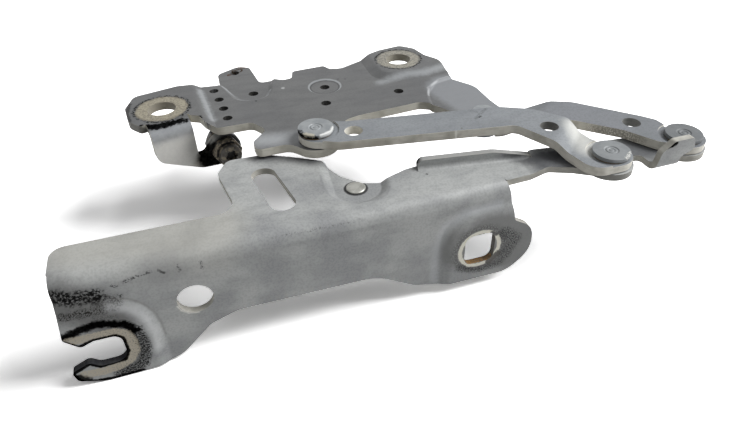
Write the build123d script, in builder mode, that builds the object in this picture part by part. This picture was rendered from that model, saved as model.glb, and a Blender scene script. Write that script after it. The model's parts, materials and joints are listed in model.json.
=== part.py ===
from build123d import *
from math import cos, radians, sin, tan
import os

# Bonnet hinge for one side of the car, drawn in mm with +Z along the four pivot axes.
# The origin is the centre of the rear body bolt hole, on the seat face of its raised pad.
# X runs along the long bend of the lower bracket, Y away from the body side flange.

# Pivot places, seen along their axes
FRONT_BRACKET_PIVOT = (58.6, 1.0)
REAR_BRACKET_PIVOT = (97.0, 2.6)
FRONT_BONNET_PIVOT = (-56.8, 57.4)
REAR_BONNET_PIVOT = (25.9, 55.8)

# Sheets
BRACKET_SHEET = 3.0
PLATE_SHEET = 4.0
LINK_SHEET = 4.2
COIN_DEPTH = 0.8

# Pins, bushes and washers
PIN_RADIUS = 4.0
PIN_HEAD_RADIUS = 8.0
PIN_HEAD_HEIGHT = 1.8
PIN_EDGE = 0.5
PIP_RADIUS = 1.1
PIP_RING_RADIUS = 2.4
PIP_DEPTH = 0.25
PEEN_RADIUS = 5.25
PEEN_HEIGHT = 0.9
PEEN_EDGE = 0.35
BUSH_PLAY = 0.03
BUSH_WALL = 0.87
BUSH_FLANGE_RADIUS = 7.6
BUSH_FLANGE_HEIGHT = 0.4
WASHER_RADIUS = 8.3
WASHER_HEIGHT = 0.4
WASHER_PLAY = 0.2
LOOSE_PIVOT_TRAVEL = 2.45

BUSH_BORE_RADIUS = PIN_RADIUS + BUSH_PLAY
BUSH_RADIUS = BUSH_BORE_RADIUS + BUSH_WALL
LOOSE_EYE_RADIUS = BUSH_RADIUS + LOOSE_PIVOT_TRAVEL

# Levels along the pivots, each worked out from the web of the lower bracket
WEB_TOP = 30.0
ARM_RISE = 2.0
LINK_JOG = 3.4
WEB_BOTTOM = WEB_TOP - BRACKET_SHEET
ARM_TOP = WEB_TOP + ARM_RISE
ARM_BOTTOM = ARM_TOP - BRACKET_SHEET
LOW_EYE_BOTTOM = ARM_TOP + WASHER_HEIGHT
LOW_LINK_TOP = LOW_EYE_BOTTOM + LINK_SHEET
LOW_EYE_TOP = LOW_LINK_TOP - COIN_DEPTH
HIGH_EYE_BOTTOM = LOW_EYE_BOTTOM + LINK_JOG
HIGH_LINK_TOP = HIGH_EYE_BOTTOM + LINK_SHEET
HIGH_EYE_TOP = HIGH_LINK_TOP - COIN_DEPTH
PLATE_TOP = HIGH_EYE_BOTTOM - WASHER_HEIGHT
PLATE_BOTTOM = PLATE_TOP - PLATE_SHEET
PAD_RISE = 2.0
SUNK_EYE_DEPTH = 1.0
SUNK_EYE_TOP = PLATE_TOP - SUNK_EYE_DEPTH
SUNK_EYE_BOTTOM = SUNK_EYE_TOP - PLATE_SHEET
UNDER_EYE_TOP = SUNK_EYE_BOTTOM - WASHER_HEIGHT
UNDER_LINK_BOTTOM = UNDER_EYE_TOP - LINK_SHEET
UNDER_EYE_BOTTOM = UNDER_LINK_BOTTOM + COIN_DEPTH
REAR_LINK_DROP = LOW_LINK_TOP - UNDER_EYE_TOP

# Lower bracket
BRACKET_EYE_RADIUS = 10.3
BEND_INNER_RADIUS = 3.0
BEND_OUTER_RADIUS = BEND_INNER_RADIUS + BRACKET_SHEET
FLANGE_FACE = 2.0
SEAT_RISE = 2.0
SEAT_FACE = FLANGE_FACE - SEAT_RISE
FLANGE_BOTTOM = -23.0
SEAT_SLOPE = 2.2
SEAT_SOFTNESS = 3.0
BEND_TANGENT = FLANGE_FACE + BEND_OUTER_RADIUS
BRACKET_LEFT = -168.4
BRACKET_BACK = 22.8
HOOK_REACH = 4.0
HOOK_SLOT_LENGTH = 17.8
FRONT_SEAT_RIGHT = -138.2
FLANGE_RIGHT = 26.4
JOGGLE_START = 24.6
JOGGLE_END = 32.6
JOGGLE_SOFTNESS = 8.0
LOBE_SLOT_START = (-80.0, 22.0)
LOBE_SLOT_END = (-84.0, 44.3)
LOBE_SLOT_WIDTH = 10.6
STRUT_POINT = (-48.5, 24.1)
DISH_RADIUS = 11.6
DISH_DEPTH = 2.0
DISH_SLOPE = 1.6
DISH_SOFTNESS = 1.5
DISH_LENGTH = 26.0
DISH_SKEW = 3.0
ACCESS_HOLE = (-120.9, 7.8)
ACCESS_HOLE_RADIUS = 7.0
REAR_BOLT_HOLE_WIDTH = 14.3
REAR_BOLT_HOLE_HEIGHT = 16.0
REAR_BOLT_HOLE_CORNER = 4.0
LIP_LEFT = (-19.6, 28.6)
LIP_ANGLE = -8.4
LIP_LENGTH = 51.0
LIP_TAPER = 17.0
LIP_RISE = 4.6
LIP_INNER_RADIUS = 2.0
LIP_STRIP = LIP_INNER_RADIUS + BRACKET_SHEET
TAB_LEFT = 74.8
TAB_RIGHT = 86.6
TAB_FACE = -9.2
TAB_INNER_RADIUS = 1.5
TAB_BEND_RADIUS = TAB_INNER_RADIUS + BRACKET_SHEET
TAB_TOP = 43.1

# Upper plate, cut from a blank between two corners
PLATE_LOW = (-145.0, 40.0)
PLATE_HIGH = (40.0, 156.0)
PLATE_PIVOT_RADIUS = 10.3
SUNK_EYE_RADIUS = 9.5
FRONT_BOLT_HOLE = (-121.7, 107.0)
REAR_BOLT_HOLE = (5.5, 120.9)
BOLT_HOLE_RADIUS = 6.75
ROW_HOLE_RADIUS = 2.3
TOOL_HOLE_RADIUS = 2.5
ROW_HOLES = [(-95.3, 121.3), (-94.0, 110.8), (-93.0, 100.5), (-92.4, 90.2)]
TOOL_HOLES = [(-82.1, 141.8), (-76.3, 113.7), (-44.1, 88.6), (-6.0, 88.3)]
DIMPLE = (-40.1, 106.9)
DIMPLE_RADIUS = 8.2
DIMPLE_DEPTH = 0.6
DIMPLE_SLOPE = 0.5
TAB_SINK = 1.2
FRONT_PAD_SLOPE = 1.9
REAR_PAD_SLOPE = 2.8
PAD_SOFTNESS = 1.5
SUNK_EYE_SLOPE = 0.7
TAB_SINK_SLOPE = 1.0
SINK_SOFTNESS = 1.0
EAR_FLANGE_CORNER = (-129.7, 86.6)
EAR_FLANGE_ANGLE = 13.5
EAR_FLANGE_LEFT = 1.6
EAR_FLANGE_RIGHT = 21.1
EAR_BEND_INNER = 2.5
EAR_BEND_OUTER = EAR_BEND_INNER + PLATE_SHEET
EAR_CENTRE = (34.7, 16.5)
EAR_RADIUS = 8.2

# Links
LINK_EYE_RADIUS = 9.6
LINK_SOFTNESS = 5.0
LIGHTENING_RADIUS = 4.1
FRONT_JOG_ANGLE = -45.0
FRONT_JOG_START = 18.35
FRONT_JOG_LENGTH = 6.8
REAR_JOG_ANGLE = 135.7
REAR_JOG_START = 61.4
REAR_JOG_LENGTH = 15.0
COIN_RADIUS = 10.6
FRONT_EYE_SHIFT = (1.5, -0.8)
FRONT_LINK_HOLES = [(-41.1, 50.6), (42.2, 24.5)]
REAR_LINK_HOLE = (82.6, 19.7)

# Stop screw, its two nuts and the strut stud
SCREW_RADIUS = 4.0
SCREW_CLEARANCE = 0.3
SCREW_HEAD_RADIUS = 5.5
SCREW_HEAD_HEIGHT = 3.5
SCREW_TAIL = 3.0
NUT_ACROSS = 13.0
LOCK_NUT_HEIGHT = 5.0
WELD_NUT_HEIGHT = 6.5
NUT_CHAMFER = 0.8
SOCKET_RADIUS = 3.0
SOCKET_LOBE_RADIUS = 0.9
SOCKET_LOBES = 6
SOCKET_DEPTH = 2.2
HEXAGON = 6
SCREW_GAP = 0.5
STUD_PEEN_RADIUS = 4.2
STUD_PEEN_HEIGHT = 0.9
STUD_SHANK_RADIUS = 3.5
STUD_COLLAR_RADIUS = 7.0
STUD_COLLAR_HEIGHT = 3.0
STUD_NECK_RADIUS = 3.0
STUD_BALL_RADIUS = 5.0
STUD_BALL_DROP = 9.0

# Reach of the cutting blocks beyond the sheets, their play past a face, and a plain corner
REACH = 60.0
PAST = 1.0
SHARP = 0.0

# Outer face of the flange bent down from the upper plate, and the section across its bend
EAR_COS = cos(radians(EAR_FLANGE_ANGLE))
EAR_SIN = sin(radians(EAR_FLANGE_ANGLE))
EAR_PLANE = Plane(
    origin=(EAR_FLANGE_CORNER[0], EAR_FLANGE_CORNER[1], 0),
    x_dir=(EAR_COS, EAR_SIN, 0),
    z_dir=(EAR_SIN, -EAR_COS, 0),
)
EAR_BEND_PLANE = Plane(
    origin=EAR_PLANE.from_local_coords((EAR_FLANGE_LEFT, 0, 0)),
    x_dir=(-EAR_SIN, EAR_COS, 0),
    z_dir=(EAR_COS, EAR_SIN, 0),
)

# Upright planes along the direction in which each link is joggled
FRONT_JOG_PLANE = Plane(
    origin=(0, 0, 0),
    x_dir=(cos(radians(FRONT_JOG_ANGLE)), sin(radians(FRONT_JOG_ANGLE)), 0),
    z_dir=(sin(radians(FRONT_JOG_ANGLE)), -cos(radians(FRONT_JOG_ANGLE)), 0),
)
REAR_JOG_PLANE = Plane(
    origin=(REAR_BRACKET_PIVOT[0], REAR_BRACKET_PIVOT[1], 0),
    x_dir=(cos(radians(REAR_JOG_ANGLE)), sin(radians(REAR_JOG_ANGLE)), 0),
    z_dir=(sin(radians(REAR_JOG_ANGLE)), -cos(radians(REAR_JOG_ANGLE)), 0),
)


def rounded_loop(corners):
    # Closed outline through corners given as (x, y, corner radius)
    count = len(corners)
    points = [Vector(corner[0], corner[1]) for corner in corners]
    spans = []
    for index in range(count):
        here = points[index]
        back = points[index - 1] - here
        onward = points[(index + 1) % count] - here
        half = radians(back.get_angle(onward)) / 2
        room = 0.49 * min(back.length, onward.length)
        radius = min(corners[index][2], room * tan(half))
        run = radius / tan(half)
        start = here + back.normalized() * run
        end = here + onward.normalized() * run
        middle = here
        if radius > SHARP:
            bisector = (back.normalized() + onward.normalized()).normalized()
            middle = here + bisector * (radius / sin(half) - radius)
        spans.append((start, middle, end, radius))
    with BuildLine() as loop:
        for index in range(count):
            start, middle, end, radius = spans[index]
            if radius > SHARP:
                ThreePointArc(start, middle, end)
            Line(end, spans[(index + 1) % count][0])
    return loop.line


def outline_prism(corners, circles, plane, height):
    # Upright prism over one rounded outline joined with eye circles (x, y, radius)
    with BuildPart() as prism:
        with BuildSketch(plane):
            with BuildLine():
                add(rounded_loop(corners))
            make_face()
            for circle in circles:
                with Locations((circle[0], circle[1])):
                    Circle(circle[2])
        extrude(amount=height)
    return prism.part


def drawn_step(corners, plane, height, slope):
    # Block with sloped sides: the outline stands half a slope wider at the plane
    # and half a slope narrower at the height
    with BuildPart() as step:
        with BuildSketch(plane):
            with BuildLine():
                add(rounded_loop(corners))
            make_face()
            offset(amount=slope, kind=Kind.ARC)
        with BuildSketch(plane.offset(height)):
            with BuildLine():
                add(rounded_loop(corners))
            make_face()
            offset(amount=-slope, kind=Kind.ARC)
        loft(ruled=True)
    return step.part


def block(low, high):
    # Upright box between two opposite corners
    with BuildPart() as box:
        with Locations(tuple((low[i] + high[i]) / 2 for i in range(3))):
            Box(*[high[i] - low[i] for i in range(3)])
    return box.part


def creases(part, axis, level, low, high):
    # Edges that lie at one level along an axis, with their middles between two corners
    chosen = ShapeList()
    for edge in part.edges().filter_by_position(axis, level, level):
        middle = edge.center()
        place = (middle.X, middle.Y, middle.Z)
        if all(low[i] < place[i] < high[i] for i in range(3)):
            chosen.append(edge)
    return chosen


def dished_disc(centre, top, depth, radius, slope):
    # Cone frustum that is wide at the top level and narrow below it
    with BuildPart() as disc:
        with Locations((centre[0], centre[1], top - depth / 2)):
            Cone(radius - slope, radius + slope, depth)
    return disc.part


def upright_hole(centre, radius, bottom, top):
    # Cutter for a hole along Z between two levels
    with BuildPart() as cutter:
        with Locations((centre[0], centre[1], (bottom + top) / 2)):
            Cylinder(radius, top - bottom + 2 * PAST)
    return cutter.part


def make_web():
    # Web, slotted lobe and joggled arm of the lower bracket, cut to outline
    front_x, front_y = FRONT_BRACKET_PIVOT
    rear_x, rear_y = REAR_BRACKET_PIVOT
    lip_line = radians(LIP_ANGLE)
    strip_x = LIP_LEFT[0] + LIP_STRIP * sin(lip_line)
    strip_y = LIP_LEFT[1] - LIP_STRIP * cos(lip_line)
    lip_end_x = LIP_LEFT[0] + LIP_LENGTH * cos(lip_line)
    lip_end_y = LIP_LEFT[1] + LIP_LENGTH * sin(lip_line)
    web_outline = [
        (BRACKET_LEFT, BEND_TANGENT, SHARP),
        (12.3, BEND_TANGENT, SHARP),
        (12.3, 5.6, 0.8),
        (32.0, 6.4, 6.0),
        (42.0, 2.0, 6.0),
        (front_x - 8.1, front_y - 4.5, SHARP),
        (front_x + 5.0, front_y - 4.0, SHARP),
        (front_x + 9.0, front_y + 0.2, SHARP),
        (TAB_LEFT, 1.2, 2.5),
        (TAB_LEFT, TAB_FACE + TAB_BEND_RADIUS, SHARP),
        (TAB_RIGHT, TAB_FACE + TAB_BEND_RADIUS, SHARP),
        (TAB_RIGHT, rear_y - 4.1, 1.5),
        (rear_x - 7.0, rear_y - 4.1, SHARP),
        (rear_x + 2.0, rear_y + 4.0, SHARP),
        (rear_x + 1.0, rear_y + BRACKET_EYE_RADIUS - 0.05, SHARP),
        (46.7, 18.8, 20.0),
        (lip_end_x, lip_end_y, SHARP),
        (lip_end_x + LIP_STRIP * sin(lip_line), lip_end_y - LIP_STRIP * cos(lip_line), SHARP),
        (strip_x, strip_y, SHARP),
        (LIP_LEFT[0], LIP_LEFT[1], SHARP),
        (-25.2, 27.8, 3.0),
        (-35.8, 23.9, 9.0),
        (-44.8, 26.9, 6.0),
        (-52.4, 35.0, 8.0),
        (-57.2, 46.6, 3.0),
        (-66.0, 52.4, 12.0),
        (-80.5, 60.6, 8.0),
        (-97.5, 61.2, 5.0),
        (-102.8, 52.0, 5.0),
        (-98.2, BRACKET_BACK, 7.0),
        (BRACKET_LEFT, BRACKET_BACK, 5.5),
    ]
    slot_middle = (
        (LOBE_SLOT_START[0] + LOBE_SLOT_END[0]) / 2,
        (LOBE_SLOT_START[1] + LOBE_SLOT_END[1]) / 2,
    )
    outer_softness = JOGGLE_SOFTNESS + BRACKET_SHEET
    blank_left = BRACKET_LEFT - REACH
    blank_right = rear_x + REACH
    side_profile = [
        (blank_left, WEB_BOTTOM, SHARP),
        (JOGGLE_START, WEB_BOTTOM, outer_softness),
        (JOGGLE_END, ARM_BOTTOM, JOGGLE_SOFTNESS),
        (blank_right, ARM_BOTTOM, SHARP),
        (blank_right, ARM_TOP, SHARP),
        (JOGGLE_END, ARM_TOP, outer_softness),
        (JOGGLE_START, WEB_TOP, JOGGLE_SOFTNESS),
        (blank_left, WEB_TOP, SHARP),
    ]
    dish_left = STRUT_POINT[0] - DISH_RADIUS
    dish_right = STRUT_POINT[0] + DISH_RADIUS
    dish_near = STRUT_POINT[1] - DISH_RADIUS
    dish_far = STRUT_POINT[1] + DISH_LENGTH
    dish = [
        (dish_left, dish_near, DISH_RADIUS),
        (dish_right, dish_near, DISH_RADIUS),
        (dish_right + DISH_SKEW, dish_far, DISH_RADIUS),
        (dish_left + DISH_SKEW, dish_far, DISH_RADIUS),
    ]
    dish_levels = [
        (WEB_TOP, DISH_SOFTNESS + BRACKET_SHEET),
        (WEB_TOP - DISH_DEPTH, DISH_SOFTNESS),
        (WEB_BOTTOM, DISH_SOFTNESS),
        (WEB_BOTTOM - DISH_DEPTH, DISH_SOFTNESS + BRACKET_SHEET),
    ]
    around = 2 * DISH_SLOPE
    dish_low = (dish_left - around, dish_near - around, -REACH)
    dish_high = (dish_right + DISH_SKEW + around, dish_far + around, REACH)
    eyes = [
        (front_x, front_y, BRACKET_EYE_RADIUS),
        (rear_x, rear_y, BRACKET_EYE_RADIUS),
    ]
    blank = outline_prism(web_outline, eyes, Plane.XY.offset(WEB_BOTTOM - REACH), 2 * REACH)
    sunk_side = drawn_step(dish, Plane.XY.offset(WEB_BOTTOM), -DISH_DEPTH, DISH_SLOPE)
    hollow_side = drawn_step(dish, Plane.XY.offset(WEB_TOP), -DISH_DEPTH, DISH_SLOPE)
    with BuildPart() as web:
        with BuildSketch(Plane.XZ.offset(REACH)):
            with BuildLine():
                add(rounded_loop(side_profile))
            make_face()
        extrude(amount=-3 * REACH)
        add(sunk_side)
        add(hollow_side, mode=Mode.SUBTRACT)
        for level, softness in dish_levels:
            fillet(creases(web.part, Axis.Z, level, dish_low, dish_high), softness)
        add(blank, mode=Mode.INTERSECT)
        with BuildSketch(Plane.XY.offset(WEB_BOTTOM - PAST)):
            SlotCenterPoint(slot_middle, LOBE_SLOT_END, LOBE_SLOT_WIDTH)
        extrude(amount=BRACKET_SHEET + 2 * PAST, mode=Mode.SUBTRACT)
    return web.part


def make_flange():
    # Bend and body side flange with its two raised seats, hook slot and holes
    hook_end = BRACKET_LEFT + HOOK_SLOT_LENGTH
    flange_outline = [
        (BRACKET_LEFT + 0.4, WEB_TOP + PAST, SHARP),
        (BRACKET_LEFT, 17.0, 6.0),
        (BRACKET_LEFT - 2.0, 4.0, 2.0),
        (BRACKET_LEFT + 3.0, -1.6, 2.0),
        (BRACKET_LEFT + 7.9, 0.4, 2.5),
        (hook_end, 0.4, 3.5),
        (hook_end, -13.8, 6.0),
        (BRACKET_LEFT + 6.9, -13.8, 3.5),
        (BRACKET_LEFT + 3.4, -10.6, 2.0),
        (BRACKET_LEFT - HOOK_REACH, -14.0, 2.0),
        (BRACKET_LEFT - HOOK_REACH + 1.0, -19.4, 2.5),
        (BRACKET_LEFT + 7.4, FLANGE_BOTTOM, 10.0),
        (FRONT_SEAT_RIGHT + 5.7, FLANGE_BOTTOM + 1, 13.0),
        (-117.6, -7.6, 6.0),
        (-106.0, -3.5, 14.0),
        (-47.0, -4.0, 22.0),
        (-30.0, -14.5, 16.0),
        (-18.0, -17.6, 12.0),
        (15.0, -17.6, 12.0),
        (FLANGE_RIGHT, -8.0, 14.0),
        (25.3, 6.0, 10.0),
        (15.8, 11.8, 3.0),
        (12.3, WEB_TOP + PAST, SHARP),
    ]
    left = BRACKET_LEFT - SEAT_SLOPE * 3
    right = FLANGE_RIGHT + PAST
    bottom = FLANGE_BOTTOM - SEAT_SLOPE
    far_left = left - REACH
    far_right = right + REACH
    far_down = bottom - REACH
    front_seat = [
        (far_left, 34.0, SHARP),
        (BRACKET_LEFT + 5.4, 18.3, 6.0),
        (FRONT_SEAT_RIGHT, 12.5, 17.0),
        (FRONT_SEAT_RIGHT, far_down, SHARP),
        (far_left, far_down, SHARP),
    ]
    rear_seat = [
        (-15.8, 18.8, 12.0),
        (far_right, 18.8, SHARP),
        (far_right, far_down, SHARP),
        (-15.8, far_down, SHARP),
    ]
    bend_start = WEB_TOP - BEND_OUTER_RADIUS
    outer_face = Plane.XZ.offset(-FLANGE_FACE)
    inner_face = Plane.XZ.offset(-FLANGE_FACE - BRACKET_SHEET)
    seat_levels = [
        (FLANGE_FACE, SEAT_SOFTNESS),
        (SEAT_FACE, SEAT_SOFTNESS + BRACKET_SHEET),
        (FLANGE_FACE + BRACKET_SHEET, SEAT_SOFTNESS + BRACKET_SHEET),
        (SEAT_FACE + BRACKET_SHEET, SEAT_SOFTNESS),
    ]
    raised = [drawn_step(seat, outer_face, SEAT_RISE, SEAT_SLOPE) for seat in (front_seat, rear_seat)]
    hollows = [drawn_step(seat, inner_face, SEAT_RISE, SEAT_SLOPE) for seat in (front_seat, rear_seat)]
    trim = block((left, SEAT_FACE - PAST, bottom), (right, BEND_TANGENT + REACH, WEB_TOP))
    front = Plane.XZ.offset(-SEAT_FACE + PAST)
    blank = outline_prism(flange_outline, [], front, -REACH)
    with BuildPart() as flange:
        with BuildSketch(Plane.YZ.offset(left)):
            with BuildLine():
                outer_low = (FLANGE_FACE, bottom)
                outer_high = (FLANGE_FACE, bend_start)
                inner_low = (FLANGE_FACE + BRACKET_SHEET, bottom)
                inner_high = (FLANGE_FACE + BRACKET_SHEET, bend_start)
                far = BEND_TANGENT + BRACKET_SHEET
                Line(outer_low, outer_high)
                RadiusArc(outer_high, (BEND_TANGENT, WEB_TOP), BEND_OUTER_RADIUS)
                Line((BEND_TANGENT, WEB_TOP), (far, WEB_TOP))
                Line((far, WEB_TOP), (far, WEB_BOTTOM))
                Line((far, WEB_BOTTOM), (BEND_TANGENT, WEB_BOTTOM))
                RadiusArc((BEND_TANGENT, WEB_BOTTOM), inner_high, -BEND_INNER_RADIUS)
                Line(inner_high, inner_low)
                Line(inner_low, outer_low)
            make_face()
        extrude(amount=right - left)
        for step in raised:
            add(step)
        for step in hollows:
            add(step, mode=Mode.SUBTRACT)
        add(trim, mode=Mode.INTERSECT)
        for level, softness in seat_levels:
            seams = creases(flange.part, Axis.Y, level, (left, -REACH, bottom), (right, REACH, bend_start))
            fillet(seams, softness)
        add(blank, mode=Mode.INTERSECT)
        with BuildSketch(front):
            RectangleRounded(REAR_BOLT_HOLE_WIDTH, REAR_BOLT_HOLE_HEIGHT, REAR_BOLT_HOLE_CORNER)
            with Locations(ACCESS_HOLE):
                Circle(ACCESS_HOLE_RADIUS)
        extrude(amount=-BEND_OUTER_RADIUS - BRACKET_SHEET, mode=Mode.SUBTRACT)
    return flange.part


def make_lip():
    # Upturned stiffening lip on the far edge of the arm, tapered at its right end
    along_x = cos(radians(LIP_ANGLE))
    along_y = sin(radians(LIP_ANGLE))
    section_plane = Plane(
        origin=(LIP_LEFT[0], LIP_LEFT[1], 0),
        x_dir=(-along_y, along_x, 0),
        z_dir=(along_x, along_y, 0),
    )
    side_plane = Plane(
        origin=(LIP_LEFT[0], LIP_LEFT[1], 0),
        x_dir=(along_x, along_y, 0),
        z_dir=(along_y, -along_x, 0),
    )
    bend_level = WEB_BOTTOM + LIP_STRIP
    lip_top = WEB_TOP + LIP_RISE
    side = [
        (0, WEB_BOTTOM - PAST, SHARP),
        (LIP_LENGTH, WEB_BOTTOM - PAST, SHARP),
        (LIP_LENGTH, WEB_TOP + PAST, SHARP),
        (LIP_LENGTH - LIP_TAPER, lip_top, 12.0),
        (1.5, lip_top, 2.0),
        (0, lip_top - 2.0, 2.0),
    ]
    cut = outline_prism(side, [], side_plane.offset(-REACH), 2 * REACH)
    with BuildPart() as lip:
        with BuildSketch(section_plane):
            with BuildLine():
                Line((0, lip_top), (0, bend_level))
                RadiusArc((0, bend_level), (-LIP_STRIP, WEB_BOTTOM), LIP_STRIP)
                Line((-LIP_STRIP, WEB_BOTTOM), (-LIP_STRIP, WEB_TOP))
                RadiusArc((-LIP_STRIP, WEB_TOP), (-BRACKET_SHEET, bend_level), -LIP_INNER_RADIUS)
                Line((-BRACKET_SHEET, bend_level), (-BRACKET_SHEET, lip_top))
                Line((-BRACKET_SHEET, lip_top), (0, lip_top))
            make_face()
        extrude(amount=LIP_LENGTH)
        add(cut, mode=Mode.INTERSECT)
    return lip.part


def make_stop_tab():
    # Tongue bent up at the near edge of the arm, against which the rear link stops
    tab_outline = [
        (TAB_LEFT, ARM_BOTTOM - PAST, SHARP),
        (TAB_RIGHT, ARM_BOTTOM - PAST, SHARP),
        (TAB_RIGHT, 34.6, 2.0),
        (TAB_RIGHT + 6.0, 37.2, 2.0),
        (TAB_RIGHT + 5.0, TAB_TOP, 2.0),
        (TAB_RIGHT - 5.0, TAB_TOP, 2.0),
        (76.2, 38.4, 2.0),
        (TAB_LEFT + 0.6, 33.4, 3.0),
    ]
    bend_level = ARM_BOTTOM + TAB_BEND_RADIUS
    bend_start = TAB_FACE + TAB_BEND_RADIUS
    bend_end = bend_start + TAB_INNER_RADIUS
    inner = TAB_FACE + BRACKET_SHEET
    high = TAB_TOP + PAST
    cut = outline_prism(tab_outline, [], Plane.XZ.offset(-TAB_FACE + PAST), -REACH)
    with BuildPart() as tab:
        with BuildSketch(Plane.YZ.offset(TAB_LEFT - PAST)):
            with BuildLine():
                Line((TAB_FACE, high), (TAB_FACE, bend_level))
                RadiusArc((TAB_FACE, bend_level), (bend_start, ARM_BOTTOM), -TAB_BEND_RADIUS)
                Line((bend_start, ARM_BOTTOM), (bend_end, ARM_BOTTOM))
                Line((bend_end, ARM_BOTTOM), (bend_end, ARM_TOP))
                Line((bend_end, ARM_TOP), (bend_start, ARM_TOP))
                RadiusArc((bend_start, ARM_TOP), (inner, bend_level), TAB_INNER_RADIUS)
                Line((inner, bend_level), (inner, high))
                Line((inner, high), (TAB_FACE, high))
            make_face()
        extrude(amount=REACH)
        add(cut, mode=Mode.INTERSECT)
    return tab.part


def make_lower_bracket():
    # Body side pressing, with its pivot holes and the hole of the strut stud
    pressed = [make_web(), make_flange(), make_lip(), make_stop_tab()]
    holes = [
        upright_hole(FRONT_BRACKET_PIVOT, PIN_RADIUS, ARM_BOTTOM, ARM_TOP),
        upright_hole(REAR_BRACKET_PIVOT, PIN_RADIUS, ARM_BOTTOM, ARM_TOP),
        upright_hole(STRUT_POINT, STUD_SHANK_RADIUS, WEB_BOTTOM - DISH_DEPTH, WEB_TOP),
    ]
    with BuildPart() as lower_bracket:
        for piece in pressed:
            add(piece)
        for hole in holes:
            add(hole, mode=Mode.SUBTRACT)
    return lower_bracket.part


def make_ear_flange():
    # Flange bent down from the front bolt pad, with the ear that carries the stop screw
    ear_s, ear_z = EAR_CENTRE
    bend_level = PLATE_TOP + PAD_RISE - EAR_BEND_OUTER
    pad_top = PLATE_TOP + PAD_RISE
    pad_bottom = PLATE_BOTTOM + PAD_RISE
    strip_end = EAR_BEND_OUTER + EAR_BEND_INNER
    strip_low = bend_level - EAR_BEND_INNER
    ear_outline = [
        (EAR_FLANGE_LEFT, bend_level, SHARP),
        (EAR_FLANGE_LEFT, 19.6, 6.0),
        (22.0, 9.6, 8.0),
        (ear_s - 4.0, ear_z - EAR_RADIUS + 0.2, 3.0),
        (ear_s, ear_z - EAR_RADIUS, SHARP),
        (ear_s, ear_z, SHARP),
        (ear_s - 6.2, ear_z + 5.2, SHARP),
        (25.0, 17.0, 3.0),
        (EAR_FLANGE_RIGHT, 17.0, 1.5),
        (EAR_FLANGE_RIGHT, bend_level, SHARP),
    ]
    with BuildPart() as ear_flange:
        with BuildSketch(EAR_PLANE):
            with BuildLine():
                add(rounded_loop(ear_outline))
            make_face()
            with Locations(EAR_CENTRE):
                Circle(EAR_RADIUS)
            with Locations(EAR_CENTRE):
                Circle(SCREW_RADIUS + SCREW_CLEARANCE, mode=Mode.SUBTRACT)
        extrude(amount=-PLATE_SHEET)
        with BuildSketch(EAR_BEND_PLANE):
            with BuildLine():
                outer_high = (EAR_BEND_OUTER, pad_top)
                inner_high = (EAR_BEND_OUTER, pad_bottom)
                Line((0, bend_level), (0, strip_low))
                Line((0, strip_low), (PLATE_SHEET, strip_low))
                Line((PLATE_SHEET, strip_low), (PLATE_SHEET, bend_level))
                RadiusArc((PLATE_SHEET, bend_level), inner_high, EAR_BEND_INNER)
                Line(inner_high, (strip_end, pad_bottom))
                Line((strip_end, pad_bottom), (strip_end, pad_top))
                Line((strip_end, pad_top), outer_high)
                RadiusArc(outer_high, (0, bend_level), -EAR_BEND_OUTER)
            make_face()
        extrude(amount=EAR_FLANGE_RIGHT - EAR_FLANGE_LEFT)
    return ear_flange.part


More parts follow.
